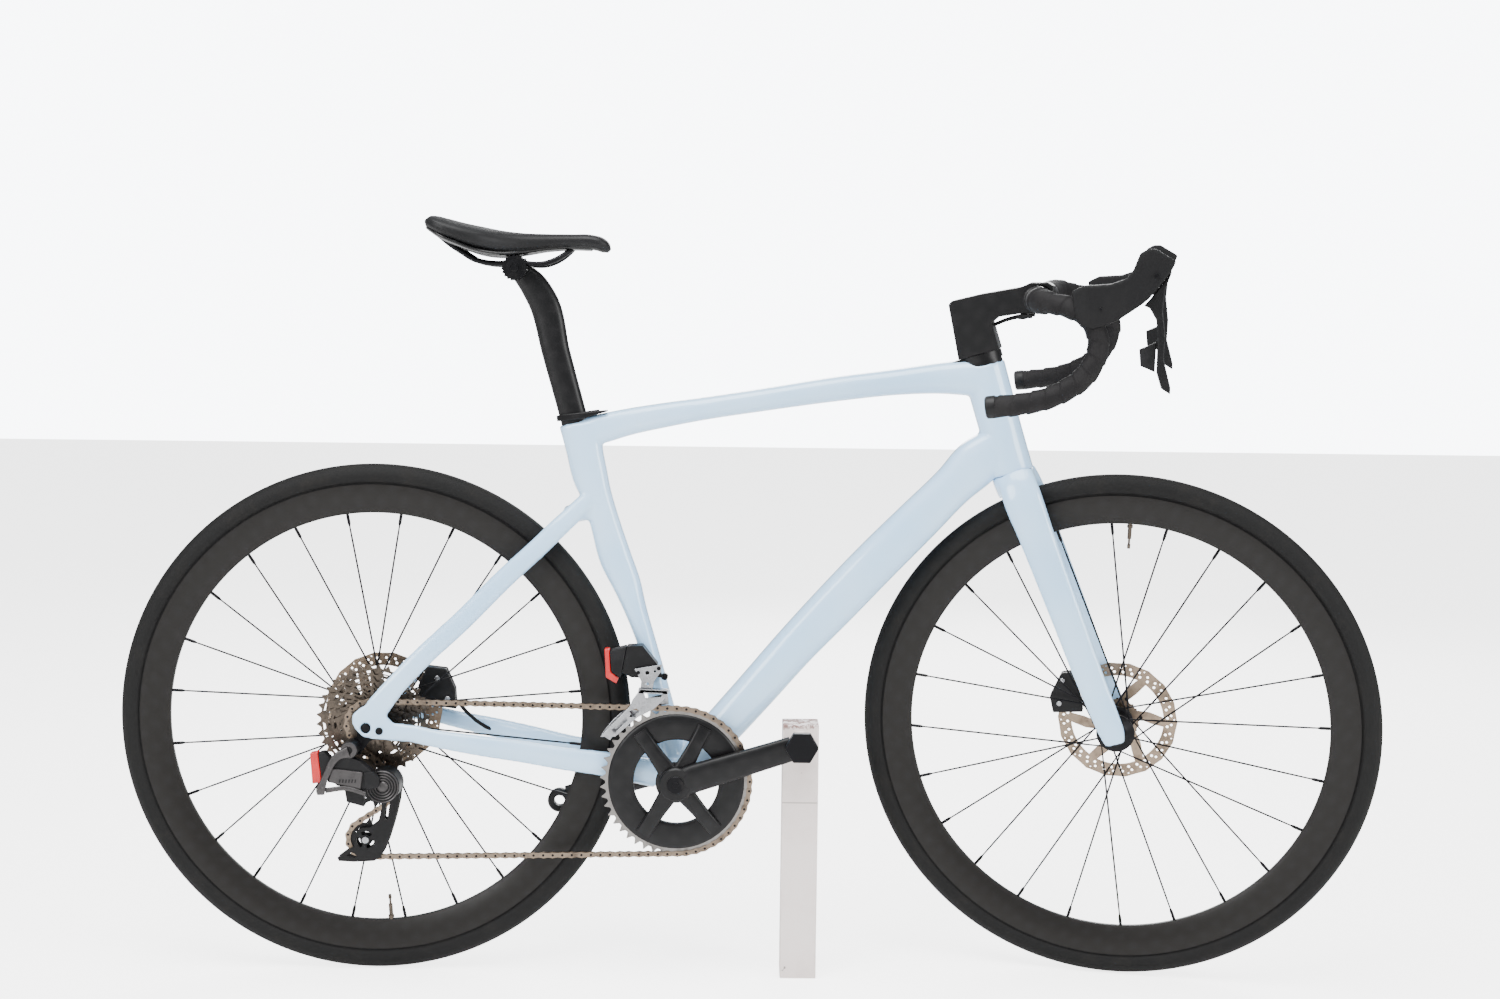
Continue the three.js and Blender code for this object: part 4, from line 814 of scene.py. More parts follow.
def rim_profile(count=22):
    """Half width 2.4 + 9.6 sin(pi u / 2)^0.8 at radius inner + depth u, and a hooked bed at the top."""
    u = np.linspace(0, 1, count)
    width = 2.4 + (RIM_HALF - 2.4) * np.sin(u * math.pi / 2) ** 0.8
    side = list(zip(RIM_INNER_R + (RIM_OUTER_R - RIM_INNER_R) * u, width))
    bed = [(RIM_OUTER_R - 0.6, RIM_HALF - 2.2), (RIM_OUTER_R - 8, RIM_HALF - 3.2)]
    half = side + bed
    return half + [(r, -y) for r, y in reversed(half)]


def tyre_profile(count=44):
    """Section radius R (1 + 0.012 cos 3a), with a strip 0.5 mm proud beside each bead; the beads
    reach down into the rim."""
    a = np.linspace(math.radians(-137), math.radians(137), count)
    strip = 0.5 * np.exp(-(((np.abs(a) - math.radians(122)) / math.radians(7)) ** 2))
    r = TYRE_SECTION_R * (1 + 0.012 * np.cos(3 * a)) + strip
    outer = list(zip(TYRE_CENTRE_R + r * np.cos(a), r * np.sin(a)))
    b = np.linspace(math.radians(130), math.radians(-130), 16)
    inner = list(zip(TYRE_CENTRE_R + 11.5 * np.cos(b), 11.5 * np.sin(b)))
    foot = RIM_OUTER_R - 7
    beads = [[(foot, side * 8.6), (foot, side * 6.4)] for side in (1, -1)]
    return outer + beads[0] + inner + beads[1][::-1]


VALVE_STEPS = [(5, 3.0), (-1, 3.0), (-1.5, 3.9), (-5, 3.9), (-5.5, 2.7), (-20, 2.7), (-20.5, 1.5),
               (-27, 1.5), (-27.5, 2.3), (-33, 2.0)]


def valve(x, angle):
    """Radii along a spoke line that step in from the rim: nut, thread, stem and cap."""
    out = np.array([math.cos(angle), 0.0, math.sin(angle)])
    hub = np.array([x, 0.0, WHEEL_R])
    return tube([[*(hub + out * (RIM_INNER_R + up)), r, r] for up, r in VALVE_STEPS], 14)


# %% [markdown]
# ## Hubs and spokes
# Twenty-four bladed spokes pull from the two flanges, leaning forwards and backwards in pairs, and
# each ends in a thick round nipple at the rim. One spoke is a short loft whose section changes from
# round at the bend to a flat blade and back to round, and a loop lays the rest round the hub.

# %% Spokes and nipples
SPOKES = 24
SPOKE_SECTIONS = [(0.0, 1.0, 1.0), (0.05, 1.0, 1.0), (0.12, 1.25, 0.5), (0.86, 1.25, 0.5), (0.93, 1.0, 1.0),
                  (0.945, 2.1, 2.1), (0.985, 2.1, 2.1), (1.0, 1.7, 1.7)]


def spokes(x, hub):
    """Spoke k leaves flange k mod 2 at its angle plus or minus the lead, and meets the rim squarely."""
    shapes = []
    for k in range(SPOKES):
        y, radius, lead = hub["flanges"][k % 2]
        angle = hub["first"] + k / SPOKES * TURN
        pull = 1 if (k // 2) % 2 == 0 else -1
        bend_x, bend_z = polar(x, WHEEL_R, radius + 1.5, angle + pull * lead)
        nipple_x, nipple_z = polar(x, WHEEL_R, RIM_INNER_R + 2, angle)
        start = np.array([bend_x, y + pull * 1.2, bend_z])
        end = np.array([nipple_x, 0.0, nipple_z])
        rows = [[*(start + (end - start) * t), deep, wide] for t, deep, wide in SPOKE_SECTIONS]
        shapes.append(tube(rows, 8))
    return shapes


# %% Hub shells
def hub_shell(x, hub):
    """A waisted barrel between two flanges, with end caps; turned from one profile."""
    (low_y, low_r, _), (high_y, high_r, _) = hub["flanges"]
    low_end, high_end = hub["ends"]
    rotor_y = hub["rotor"]
    waist = np.linspace(0, 1, 12)
    barrel_y = low_y + 5 + (high_y - low_y - 10) * waist
    barrel_r = 13.5 + 3.5 * (2 * waist - 1) ** 4
    profile = [
        (6.3, low_end), (9.2, low_end), (10, low_end + 0.8), (10.6, low_end + 5),
        (low_r - 4, low_y - 3.4), (low_r + 2.4, low_y - 1.8), (low_r + 3, low_y - 1.2),
        (low_r + 3, low_y + 1.2), (low_r + 2.4, low_y + 1.8), (low_r - 4, low_y + 3),
        *zip(barrel_r, barrel_y),
        (high_r - 4, high_y - 3), (high_r + 2.4, high_y - 1.8), (high_r + 3, high_y - 1.2),
        (high_r + 3, high_y + 1.2), (high_r + 2.4, high_y + 1.8), (high_r - 3, high_y + 3.2),
        (19, rotor_y - 2.4), (17.2, rotor_y - 1.2), (17.2, rotor_y + 1.2), (21, rotor_y + 1.3),
        (21, rotor_y + 3.4), (19.4, rotor_y + 4.4), (10.5, rotor_y + 4.8), (10, high_end - 0.8),
        (9.2, high_end), (6.3, high_end),
    ]
    return turned(x, WHEEL_R, profile, 56)


# %% [markdown]
# ## Brake rotors
# A rotor is a steel disc about 1.8 mm thick, cut away until it is a wavy drilled band on six slanted
# arms round a dark carrier. Sheet metal is drawn flat, so an outline with holes, given a thickness,
# is exactly how it is made.

# %% Rotor band, arms and carrier
ARMS = 6
BAND_HOLES = ((66.6, 2.0, 0.0), (71.8, 1.8, 0.045), (75.4, 1.1, -0.03))
CARRIER_TEETH = [30.0, 30.0, 27.4, 27.4]


def rotor_outline(x):
    """Edge radius 79.8 - 1.5 |sin 9a|^0.8: eighteen shallow bites in a full turn."""
    a = np.linspace(0, TURN, 192, endpoint=False)
    return polar(x, WHEEL_R, 79.8 - 1.5 * np.abs(np.sin(9 * a)) ** 0.8, a)


def rotor_holes(x):
    """Six leaning windows, then three staggered rows of holes through the band."""
    holes = []
    for k in range(ARMS):
        start = k / ARMS * TURN + 0.10
        end = (k + 1) / ARMS * TURN - 0.10
        corners = [(28.5, a) for a in np.linspace(start + 0.42, end + 0.20, 8)] + [(45, end + 0.04)]
        corners += [(61.5, a) for a in np.linspace(end, start, 12)] + [(44, start + 0.2)]
        holes.append(polar(x, WHEEL_R, *np.array(corners).T))
    for k in range(36):
        a = (k + 0.5) / 36 * TURN
        rows = BAND_HOLES[:2] if k % 2 else BAND_HOLES
        holes += [circle(*polar(x, WHEEL_R, r, a + shift), size, 8) for r, size, shift in rows]
    return holes


def rotor(name, x, y, body, node, turn):
    """The band on its six arms, and the dark toothed carrier with a rivet to each arm."""
    disc = plate(rotor_outline(x), y - 0.9, y + 0.9, [circle(x, WHEEL_R, 18.2, 32), *rotor_holes(x)])
    make(name + "_band", [disc], body, ROTOR_STEEL, [node], turn)
    angles = (np.arange(ARMS) + 0.15) / ARMS * TURN
    rivets = [bar_y(*polar(x, WHEEL_R, 31.5, a), 2.6, y - 2.0, y + 2.0, 12) for a in angles]
    edge = polar(x, WHEEL_R, np.tile(CARRIER_TEETH, 24), np.arange(96) / 96 * TURN)
    teeth = plate(edge, y + 0.9, y + 1.6, [circle(x, WHEEL_R, 17.6, 32)])
    make(name + "_carrier", [teeth, *rivets], body, DARK, (), turn)


# %% Both wheels
WHEELS = {
    "front": {
        "x": WHEELBASE, "body": "front_wheel", "turn": True, "ends": (-49.7, 49.7),
        "flanges": ((-33, 22, 0.9), (25, 19, 0.9)), "rotor": 39.0,
        "first": math.radians(3), "valve": math.radians(88),
    },
    "rear": {
        "x": 0.0, "body": "rear_wheel", "turn": False, "ends": (-21.8, 70.6),
        "flanges": ((-17.5, 20, 0.9), (36, 18, 0.9)), "rotor": 55.0,
        "first": math.radians(8), "valve": math.radians(-86),
    },
}
for name, hub in WHEELS.items():
    x, body, turn = hub["x"], hub["body"], hub["turn"]
    rim = turned(x, WHEEL_R, rim_profile(), WHEEL_STEPS)
    make(name + "_rim_hoop", [rim], body, RIM_CARBON, [name + "_rim"], turn)
    make(name + "_valve", [valve(x, hub["valve"])], body, STEEL, (), turn)
    tread = turned(x, WHEEL_R, tyre_profile(), WHEEL_STEPS)
    make(name + "_tyre_casing", [tread], body, TYRE, [name + "_tyre"], turn)
    make(name + "_hub_shell", [hub_shell(x, hub)], body, DARK, [name + "_hub"], turn)
    make(name + "_spokes", spokes(x, hub), body, DARK, (), turn)
    rotor(name + "_rotor", x, hub["rotor"], body, name + "_rotor", turn)

# %% [markdown]
# ## Axles and brake calipers
# The through-axles and calipers are plain machined blocks: rounded edges and a bright bolt or two
# are what make them read as real.

# %% Calipers
def caliper(name, corners, y_low, y_high, rotor_y, body, node, turn, bolts):
    """Two halves either side of the rotor's slot, a bridge over them, and bright bolts."""
    block = np.array(corners, float)
    slot = 1.9
    middle = block.mean(axis=0)
    shapes = [
        plate(block, y_low, rotor_y - slot),
        plate(block, rotor_y + slot, y_high),
        plate(middle + (block - middle) * [0.5, 0.30] + [4, 14], rotor_y - slot - 1, rotor_y + slot + 1),
    ]
    piece = make(name + "_body", shapes, body, PLASTIC, [node], turn)
    bevel(piece, 1.4, 3)
    screws = [bar_y(x, z, 3.6, y_low - 1.6, y_low + 3, 20, 0.8) for x, z in bolts]
    make(name + "_bolts", screws, body, SILVER, (), turn)


caliper("front_caliper", [[899, 369], [904, 347], [944, 350], [942, 366], [926, 404], [914, 402]],
        30, 47, 39, "steering", "front_brake_caliper", True, [(915, 392), (912, 360)])
caliper("rear_caliper", [[50, 350], [100, 344], [98, 372], [86, 399], [60, 402], [48, 376]],
        43, 61, 55, "frame", "rear_brake_caliper", False, [(74, 386), (88, 358)])
edged("front_through_axle", "front_axle", DARK, 0.6, 2)
edged("rear_through_axle", "rear_axle", DARK, 0.6, 2)
edged("rear_hose_sleeve", "rear_brake_hose", HOOD, 0.3, 1)

# %% [markdown]
# ## Toothed wheels
# Every sprocket, chainring and pulley is a disc whose edge rises and falls once for each tooth. The
# pitch line goes through the chain's pins at radius pitch / (2 sin(pi / teeth)), so a single function
# with seven corners to the tooth draws them all.

# %% Teeth
CHAIN_PITCH = 12.7
CHAIN_Y = -48.0
GUIDE = (11.0, 256.0)
TENSION = (-5.0, 187.0)
TOOTH = [(0.0, -3.9), (0.17, -3.5), (0.36, 0.6), (0.45, 3.2), (0.55, 3.2), (0.64, 0.6), (0.83, -3.5)]


def pitch_radius(teeth):
    return CHAIN_PITCH / (2 * math.sin(math.pi / teeth))


def toothed_edge(x, z, teeth, crest=1.0, start=0.0):
    """Corners at pitch radius + rise, seven to a tooth: root, flank, crest and back."""
    share = np.array([t for t, _ in TOOTH])
    rise = np.array([h for _, h in TOOTH]) * crest
    a = start + (np.arange(teeth)[:, None] + share[None, :]).ravel() / teeth * TURN
    r = pitch_radius(teeth) + np.tile(rise, teeth)
    return polar(x, z, r, a)


# %% [markdown]
# ## Cassette and freehub
# Twelve sprockets stack up 3.5 mm apart from ten teeth outside to thirty-six inside. The large ones
# are cut into thin spider arms to save weight, and light passes between them.

# %% Cassette
SPROCKETS = [10, 11, 12, 13, 15, 17, 19, 21, 24, 28, 32, 36]
SPROCKET_STEP = 3.5
cassette = []
for k, teeth in enumerate(SPROCKETS):
    y = CHAIN_Y + (k - 4) * SPROCKET_STEP
    edge = toothed_edge(*AXLE, teeth, 0.8, 0.11 * k)
    inner_r, outer_r = 23.5, pitch_radius(teeth) - 10.5
    holes = [circle(*AXLE, 16.8 if teeth < 24 else 20, 36)]
    if outer_r - inner_r > 5:
        arms = 5 if teeth < 30 else 7
        gap = 0.13 if teeth < 30 else 0.1
        for m in range(arms):
            a = 0.3 * k + m / arms * TURN
            holes.append(sector(*AXLE, inner_r + 1.5, outer_r, a + gap, a + TURN / arms - gap, 7))
    if teeth >= 21:
        count = teeth // 3
        for m in range(count):
            a = 0.1 * k + m / count * TURN
            r = pitch_radius(teeth)
            holes.append(sector(*AXLE, r - 9, r - 5.8, a, a + 3.6 / count, 3))
    cassette.append(plate(edge, y - 0.75, y + 0.75, holes))
sleeve = [(16.4, -63), (18.2, -63), (18.2, -57), (19.6, -52), (21.8, -48), (23.2, -38), (24.6, -30),
          (25.2, -23), (16.4, -23)]
cassette.append(turned(*AXLE, sleeve, 48))
make("cassette_sprockets", cassette, "sprockets", STEEL, ["cassette"])
edged("freehub_barrel", "freehub_body", DARK, 0.4, 2)

# %% [markdown]
# ## Chainrings, spider and cranks
# The large ring's teeth are bright where they are machined, behind a deep black ring. The right arm
# spreads into a spider of flat spokes. A crank arm is a loft: wide and deep at the axle, slimmer at
# the pedal's eye, with flattened sides.

# %% Rings
BIG_TEETH = 48
SMALL_TEETH = 35
TOOTH_HALF = 0.9
tooth_y = (CHAIN_Y - TOOTH_HALF, CHAIN_Y + TOOTH_HALF)
large = plate(toothed_edge(*BB, BIG_TEETH, 0.95, 0.02), *tooth_y, [circle(*BB, 81, 96)])
make("large_ring_teeth", [large], "crankset", RING_STEEL, ["chainring_large"])
black_profile = [
    (56, -50.6), (56.6, -51.1), (60, -51.7), (74, -52.2), (85.5, -51.9), (88.4, -51.0), (89.6, -49.6),
    (89.6, -47.4), (88.6, -46.9), (56.6, -46.9), (56, -47.4),
]
make("large_ring_web", [turned(*BB, black_profile, 128)], "crankset", RING_BLACK, ())
small = plate(toothed_edge(*BB, SMALL_TEETH, 0.9, 0.05), -42, -40.2, [circle(*BB, 58, 64)])
make("small_ring_teeth", [small, turned(*BB, [(57, -46.5), (64, -46.5), (64, -40.2), (57, -40.2)], 64)],
     "crankset", DARK, ["chainring_small"])

# %% Crank arms
CRANK_LENGTH = 172.5
CRANK_ANGLE = math.radians(18.1)
ARM_END = 161.0
SPIDER_DEGREES = [63, 126, 238, 310]
SPIDER_ROWS = [
    (4, -58, 14, 4.6), (24, -57.6, 12, 4.6), (50, -56.4, 10, 4.2), (72, -55.2, 9.6, 3.6),
    (82, -54.2, 9.4, 2.2),
]
ARM_ROWS = [
    (-6, 61, 15, 8.5), (8, 62, 18, 9.6), (40, 64, 18.6, 9.2), (75, 65.6, 17.8, 8.6), (100, 67, 17, 8),
    (140, 68.4, 16.3, 7), (160, 68.5, 15.9, 6.6), (176, 68.5, 15.4, 6.4),
]


def on_arm(distance, side):
    """The (x, z) of a point that far out along the right (-1) or left (+1) arm."""
    return polar(*BB, distance, CRANK_ANGLE + (math.pi if side > 0 else 0))


def spider_arm(degrees):
    """One flat spoke of the spider, thinner towards the ring."""
    rows = []
    for distance, y, deep, wide in SPIDER_ROWS:
        x, z = polar(*BB, distance, math.radians(degrees))
        rows.append([x, y, z, deep, wide])
    return tube(rows, 20, 3.4, steps=24)


def ring_eye(x, z, outer, hole, y_low, y_high, edge=1.6):
    """A round eye with a hole through it, turned."""
    profile = [(hole, y_low + 0.6), (hole + 0.6, y_low), (outer - edge, y_low), (outer, y_low + edge),
               (outer, y_high - edge), (outer - edge, y_high), (hole + 0.6, y_high), (hole, y_high - 0.6)]
    return turned(x, z, profile, 48)


def crank_shapes(side):
    """The arm, the boss round the spindle and the eye. The arm's loft stops short of the eye, so that
    the hole for the pedal's thread stays open."""
    rows = []
    for distance, y, deep, wide in ARM_ROWS:
        if distance < ARM_END:
            x, z = on_arm(distance, side)
            rows.append([x, side * y, z, deep, wide])
    low, high = outward(side, 51.8, 72)
    tip = 17 if side > 0 else 18
    boss = [(0, low), (20, low), (22, low + 2), (22, high - 3), (tip, high), (0, high)]
    eye = ring_eye(*on_arm(CRANK_LENGTH, side), 16.3, 7.2, *outward(side, 62.2, 74.8), 2.4)
    return [tube(rows, 28, 3.2, steps=40), turned(*BB, boss, 56), eye]


spider_hub = turned(*BB, [(13, -57.8), (24, -57.8), (27, -56), (27, -52.6), (13, -52.6)], 56)
spider = [spider_arm(degrees) for degrees in SPIDER_DEGREES] + [spider_hub]
spindle = bar_y(*BB, 12, -69, 60, 40, 1)
for (side, name), extra in zip(SIDES, (spider, [spindle])):
    make(name + "_crank", crank_shapes(side) + extra, "crankset", CARBON, ["crank_arm_" + name])
crown = [bar_y(*BB, 11.5, -73.6, -71, 40, 0.8), bar_y(*BB, 4.2, -74.4, -72, 6, 0.3)]
make("crank_bolt", crown, "crankset", DARK, ())
edged("hexagon_bolt", "stand_bolt", DARK, 1.2, 3)

# %% [markdown]
# ## Chain
# A chain is pairs of plates, first outside, then inside, pinned 12.7 mm apart. The loop's line runs
# round four toothed wheels, so points are set along it by length and one short figure-of-eight plate
# is laid between each pair of them.

# %% The chain's line
DRIVEN_TEETH = 15
PULLEY_TEETH = 12
CHAIN_WHEELS = [
    (*BB, pitch_radius(BIG_TEETH), 1), (*AXLE, pitch_radius(DRIVEN_TEETH), 1),
    (*GUIDE, pitch_radius(PULLEY_TEETH), -1), (*TENSION, pitch_radius(PULLEY_TEETH), 1),
]


def chain_line():
    """Straight tangents between wheels and arcs on them; the heading from one wheel to the next is
    the bearing less asin((turn2 r2 - turn1 r1) / span)."""
    headings = []
    for (x, z, r, turn), (x2, z2, r2, turn2) in zip(CHAIN_WHEELS, CHAIN_WHEELS[1:] + CHAIN_WHEELS[:1]):
        span = math.hypot(x2 - x, z2 - z)
        headings.append(math.atan2(z2 - z, x2 - x) - math.asin((turn2 * r2 - turn * r) / span))
    points = []
    for k, (x, z, r, turn) in enumerate(CHAIN_WHEELS):
        arrive = headings[k - 1]
        sweep = turn * (((headings[k] - arrive) * turn) % TURN)
        h = arrive + np.linspace(0, 1, max(3, int(abs(sweep) / 0.02))) * sweep
        points.append(np.stack([x + np.sin(h) * turn * r, z - np.cos(h) * turn * r], axis=1))
    return np.concatenate(points)


def spread(line, pitch):
    """The closed line cut into an even number of equal lengths, as near the pitch as can be."""
    closed = np.concatenate([line, line[:1]])
    length = np.concatenate([[0], np.cumsum(np.linalg.norm(np.diff(closed, axis=0), axis=1))])
    count = 2 * round(length[-1] / pitch / 2)
    t = np.linspace(0, length[-1], count, endpoint=False)
    return np.stack([np.interp(t, length, closed[:, i]) for i in range(2)], axis=1)


# %% Links
LINK_END_R = 4.0
LINK_WAIST = 2.9
OUTER_LINK = (1.75, 2.6)
INNER_LINK = (1.0, 1.7)


def link_outline(start, end):
    """Two round ends about the pins, joined by a waist halfway."""
    along = end - start
    u = along / np.linalg.norm(along)
    n = np.array([-u[1], u[0]])
    a = np.linspace(-math.pi / 2, math.pi / 2, 5)[:, None]
    front = end + (u * np.cos(a) + n * np.sin(a)) * LINK_END_R
    back = start - (u * np.cos(a) + n * np.sin(a)) * LINK_END_R
    middle = (start + end) / 2
    return np.concatenate([front, [middle + n * LINK_WAIST], back, [middle - n * LINK_WAIST]])


pins = spread(chain_line(), CHAIN_PITCH)
plates, rivets = [], []
for k, (start, end) in enumerate(zip(pins, np.roll(pins, -1, axis=0))):
    near, far = INNER_LINK if k % 2 else OUTER_LINK
    outline = link_outline(start, end)
    plates.append(plate(outline, CHAIN_Y - far, CHAIN_Y - near))
    plates.append(plate(outline, CHAIN_Y + near, CHAIN_Y + far))
    rivets.append(bar_y(*start, 1.7, CHAIN_Y - 2.8, CHAIN_Y + 2.8, 8, 0.2))
make("chain_links", plates, "frame", CHAIN_STEEL, ["chain"])
make("chain_pins", rivets, "frame", DARK)
print("links", len(pins))

# %% [markdown]
# ## Stem and handlebar
# The stem is a hollow forging with flat sides and generous corners, and a separate faceplate clamps
# the bar with small bolts. The bar itself is one carbon tube: straight across the top, forward into
# the hoods, then down and back. A single round section carried along that path draws each half.

# %% Handlebar
BAR_PATH = [
    [875, 0, 909], [875, 40, 909], [876, 62, 909.5], [878, 110, 911], [882, 150, 912],
    [890, 178, 911.5], [905, 194, 909.5], [925, 202, 905], [944, 205, 896], [956, 206, 880],
    [960, 207, 860], [954, 208, 838], [943, 208.5, 821.5], [922, 209, 806], [898, 209.5, 795],
    [868, 210, 788], [831, 210, 783.5],
]
TAPE_STARTS = 2
TAPE_RADII = [15.6] * 6 + [12.9] * 6 + [13.2] * 5
TAPE_PITCH = 21.0
TAPE_EDGE = 1.4


def bar_rows(side, start, radii):
    """Rows of the right (-1) or left (+1) half, from the start-th point on."""
    return [[x, side * y, z, r, r] for (x, y, z), r in zip(BAR_PATH[start:], radii[start:])]


def wraps(t, angle):
    """Height of wound tape: each turn climbs over the one before, then steps down at its edge."""
    phase = (t / TAPE_PITCH + angle / TURN) % 1
    ramp = np.where(phase < 0.93, phase / 0.93, (1 - phase) / 0.07)
    return TAPE_EDGE * (ramp - 0.4)


def steady(side):
    """A direction that the bar never points along."""
    return (1, -side, 1)


bar_radii = [15.9, 15.9, 13.5] + [11.5] * 14
halves = [tube(bar_rows(side, 0, bar_radii), 28, across=steady(side), steps=120) for side in (1, -1)]
make("handlebar_tube", halves, "steering", CARBON, ["handlebar"], turn=True)

# %% [markdown]
# ## Bar tape, plugs and hoods
# Tape is wound in overlapping turns, so its surface climbs slowly and drops at each edge. That is a
# saw-tooth height added to the round section. The hoods are soft moulded shells: a remesh of
# their solids, relaxed a little, melts the straight corners into rubber ones.

# %% Tape and end plugs
for side, word in SIDES:
    wound = bar_rows(side, TAPE_STARTS, TAPE_RADII)
    tape = tube(wound, 36, across=steady(side), steps=330, swell=wraps)
    make("tape_" + word, [tape], "steering", TAPE, ["bar_tape_" + word], turn=True, sharp=50)
    end = [
        [839, side * 210, 784.5, 13.9, 13.9], [831, side * 210, 783.5, 13.9, 13.9],
        [828.5, side * 210, 783.2, 13.5, 13.5], [827, side * 210, 783, 11.5, 11.5],
    ]
    make("bar_plug_" + word, [tube(end, 32)], "steering", PLUG_PLASTIC, (), turn=True)
    band = [
        [876.3, side * 62, 909.5, 16.3, 16.3], [876.6, side * 70, 909.8, 16.5, 16.5],
        [877.2, side * 88, 910.3, 16.5, 16.5],
    ]
    finish = tube(band, 32, across=steady(side))
    make("tape_finish_" + word, [finish], "steering", PLUG_PLASTIC, (), turn=True)

# %% Hoods, levers and paddles
for side, word in SIDES:
    hood, lever, paddle = "hood_" + word, "brake_lever_" + word, "shift_paddle_" + word
    one_skin(hood + "_cover", solid_copy(hood, hood), 1.9, 14, "steering", HOOD, [hood])
    one_skin(lever + "_blade", solid_copy(lever, lever), 1.1, 7, word + "_lever", CARBON, [lever])
    one_skin(paddle + "_blade", solid_copy(paddle, paddle), 0.9, 5, word + "_paddle", PLASTIC, [paddle])
    depth = outward(side, 219, 222.4)
    pins = [bar_y(x, z, r, *depth, 16, 0.3) for x, z, r in ((1026, 945, 2.6), (962, 905, 1.8))]
    make("hood_pins_" + word, pins, "steering", DARK, (), turn=True)

# %% Stem, faceplate and hoses
edged("stem_body", "stem", CARBON, 4.5, 5)
edged("faceplate", "stem_faceplate", CARBON, 2.2, 3)


def bar_x(x, y, z, radius, length, sides=20):
    """A short bolt head along X."""
    profile = [(0, 0), (radius, 0), (radius, length - 0.5), (radius - 0.5, length), (0, length)]
    a = np.arange(sides) / sides * TURN
    r, t = np.array(profile).T
    points = np.stack([
        np.broadcast_to(x + t, (sides, len(r))), y + np.outer(np.cos(a), r), z + np.outer(np.sin(a), r),
    ], axis=-1)
    return points.reshape(-1, 3), grid_faces(sides, len(r), wrap_rows=True)


screws = [bar_x(888, y, z, 3.2, 4.2) for y in (-13, 13) for z in (897, 921)]
make("faceplate_bolts", screws, "steering", DARK, (), turn=True)
hoses = []
for side in (1, -1):
    hose = [
        [866, side * 26, 885.6, 2.4, 2.4], [850, side * 17, 884.6, 2.4, 2.4], [832, side * 8, 880, 2.4, 2.4],
        [816.5, side * 5, 873.5, 2.4, 2.4],
    ]
    hoses.append(tube(hose, 14, across=(0, 0, 1), steps=24))
hoses.append(tube([[853.5, -22, 884.6, 3.2, 6.2], [853.5, 22, 884.6, 3.2, 6.2]], 24, 3.5, across=(1, 0, 0)))
make("control_hose_pair", hoses, "steering", HOOD, ["control_hoses"], turn=True)

# %% [markdown]
# ## Seatpost and saddle clamp
# The post is an aero section, deep and narrow, that bends back at the top into a barrel. A pair of
# toothed washers and one long bolt squeeze the saddle's rails to that barrel.

# %% Seatpost and clamp
CLAMP = (186.0, 939.0)
SEATPOST = [
    [276, 0, 690, 18, 10.5], [262, 0, 743, 18, 10.5], [238, 0, 830, 18.6, 10.5], [220, 0, 898, 19.6, 10.5],
    [207, 0, 919, 18, 11], [193, 0, 934, 14.4, 12],
]
barrel = turned(*CLAMP, [(0, -14.5), (12, -14.5), (13.5, -13), (13.5, 13), (12, 14.5), (0, 14.5)], 48)
post = tube(SEATPOST, 40, 2.3, steps=80)
make("seatpost_tube", [post, barrel], "seat", CARBON, ["seatpost"])


def washer(side):
    """A toothed washer and the plain cradle behind it."""
    a = np.arange(120) / 120 * TURN
    r = 16.2 + 0.9 * np.sign(np.sin(20 * a)) * np.abs(np.sin(20 * a)) ** 0.5
    toothed = plate(polar(*CLAMP, r, a), *outward(side, 23.5, 29.5))
    cradle = bar_y(*CLAMP, 14.4, *outward(side, 15, 24), 48, 1.4)
    dish = turned(*CLAMP, [(4, side * 29), (11.5, side * 29), (11.5, side * 30.2), (4, side * 30.8)], 40)
    return [toothed, cradle, dish]


clamp = washer(1) + washer(-1)
make("clamp_washers", clamp, "seat", DARK, ["saddle_clamp"])
bolt_head = [bar_y(*CLAMP, 5.4, -33.5, -29, 28, 0.8), bar_y(*CLAMP, 5.4, 29, 33.5, 28, 0.8)]
make("clamp_bolt", bolt_head, "seat", DARK)

# %% Rails
RAIL = [
    [90, 34, 979], [104, 31, 967.5], [118, 29, 958.5], [134, 25, 949], [150, 22, 945.5], [190, 22, 945.5],
    [226, 22, 945.5], [240, 19, 951], [254, 12, 960.5], [259, 6, 965], [260, 0, 966],
]
loop = [[x, y, z, 3.5, 3.5] for x, y, z in RAIL] + [[x, -y, z, 3.5, 3.5] for x, y, z in RAIL[-2::-1]]
make("rail_loop", [tube(loop, 16, across=(0, 0, 1), steps=110)], "seat", DARK, ["saddle_rails"])

# %% [markdown]
# ## Saddle
# Thin foam under a seamless skin, on a stiff shell: wide at the back, a narrow nose that dips at the
# tip, and a shallow relief channel along the middle. Its plan and side view are a few stations, and
# the channel and the groove where skin meets shell are heights added to the section.

# %% Cover and shell
SADDLE = [
    (72, 1002, 993, 44), (75, 1005.5, 987.5, 53), (80, 1006, 984, 60), (95, 1003, 974.5, 69.5),
    (115, 998, 966, 70.5), (140, 993, 957.5, 63.5), (165, 988.5, 954.5, 49.5), (193, 985.5, 957, 35),
    (227, 984.5, 962.5, 25), (260, 984.5, 965, 21.5), (285, 984, 964.5, 19.5), (297, 980.5, 962, 17),
    (304, 973.5, 959.5, 12), (307.5, 966.5, 960, 7),
]


def channel(t, angle):
    """Height: -3 exp(-(off centre / width)^2) along the middle, fading out at both ends, with a fine
    groove of 0.7 mm round the lower edge. The section's top is where the angle is pi."""
    fade = np.clip(t / 45, 0, 1) * np.clip((205 - t) / 55, 0, 1)
    relief = -3.0 * fade * np.exp(-(((angle - math.pi) / 0.13) ** 2))
    low_edge = np.minimum(np.abs(angle - 1.0), np.abs(angle - (TURN - 1.0)))
    return relief - 0.7 * np.exp(-((low_edge / 0.035) ** 2))


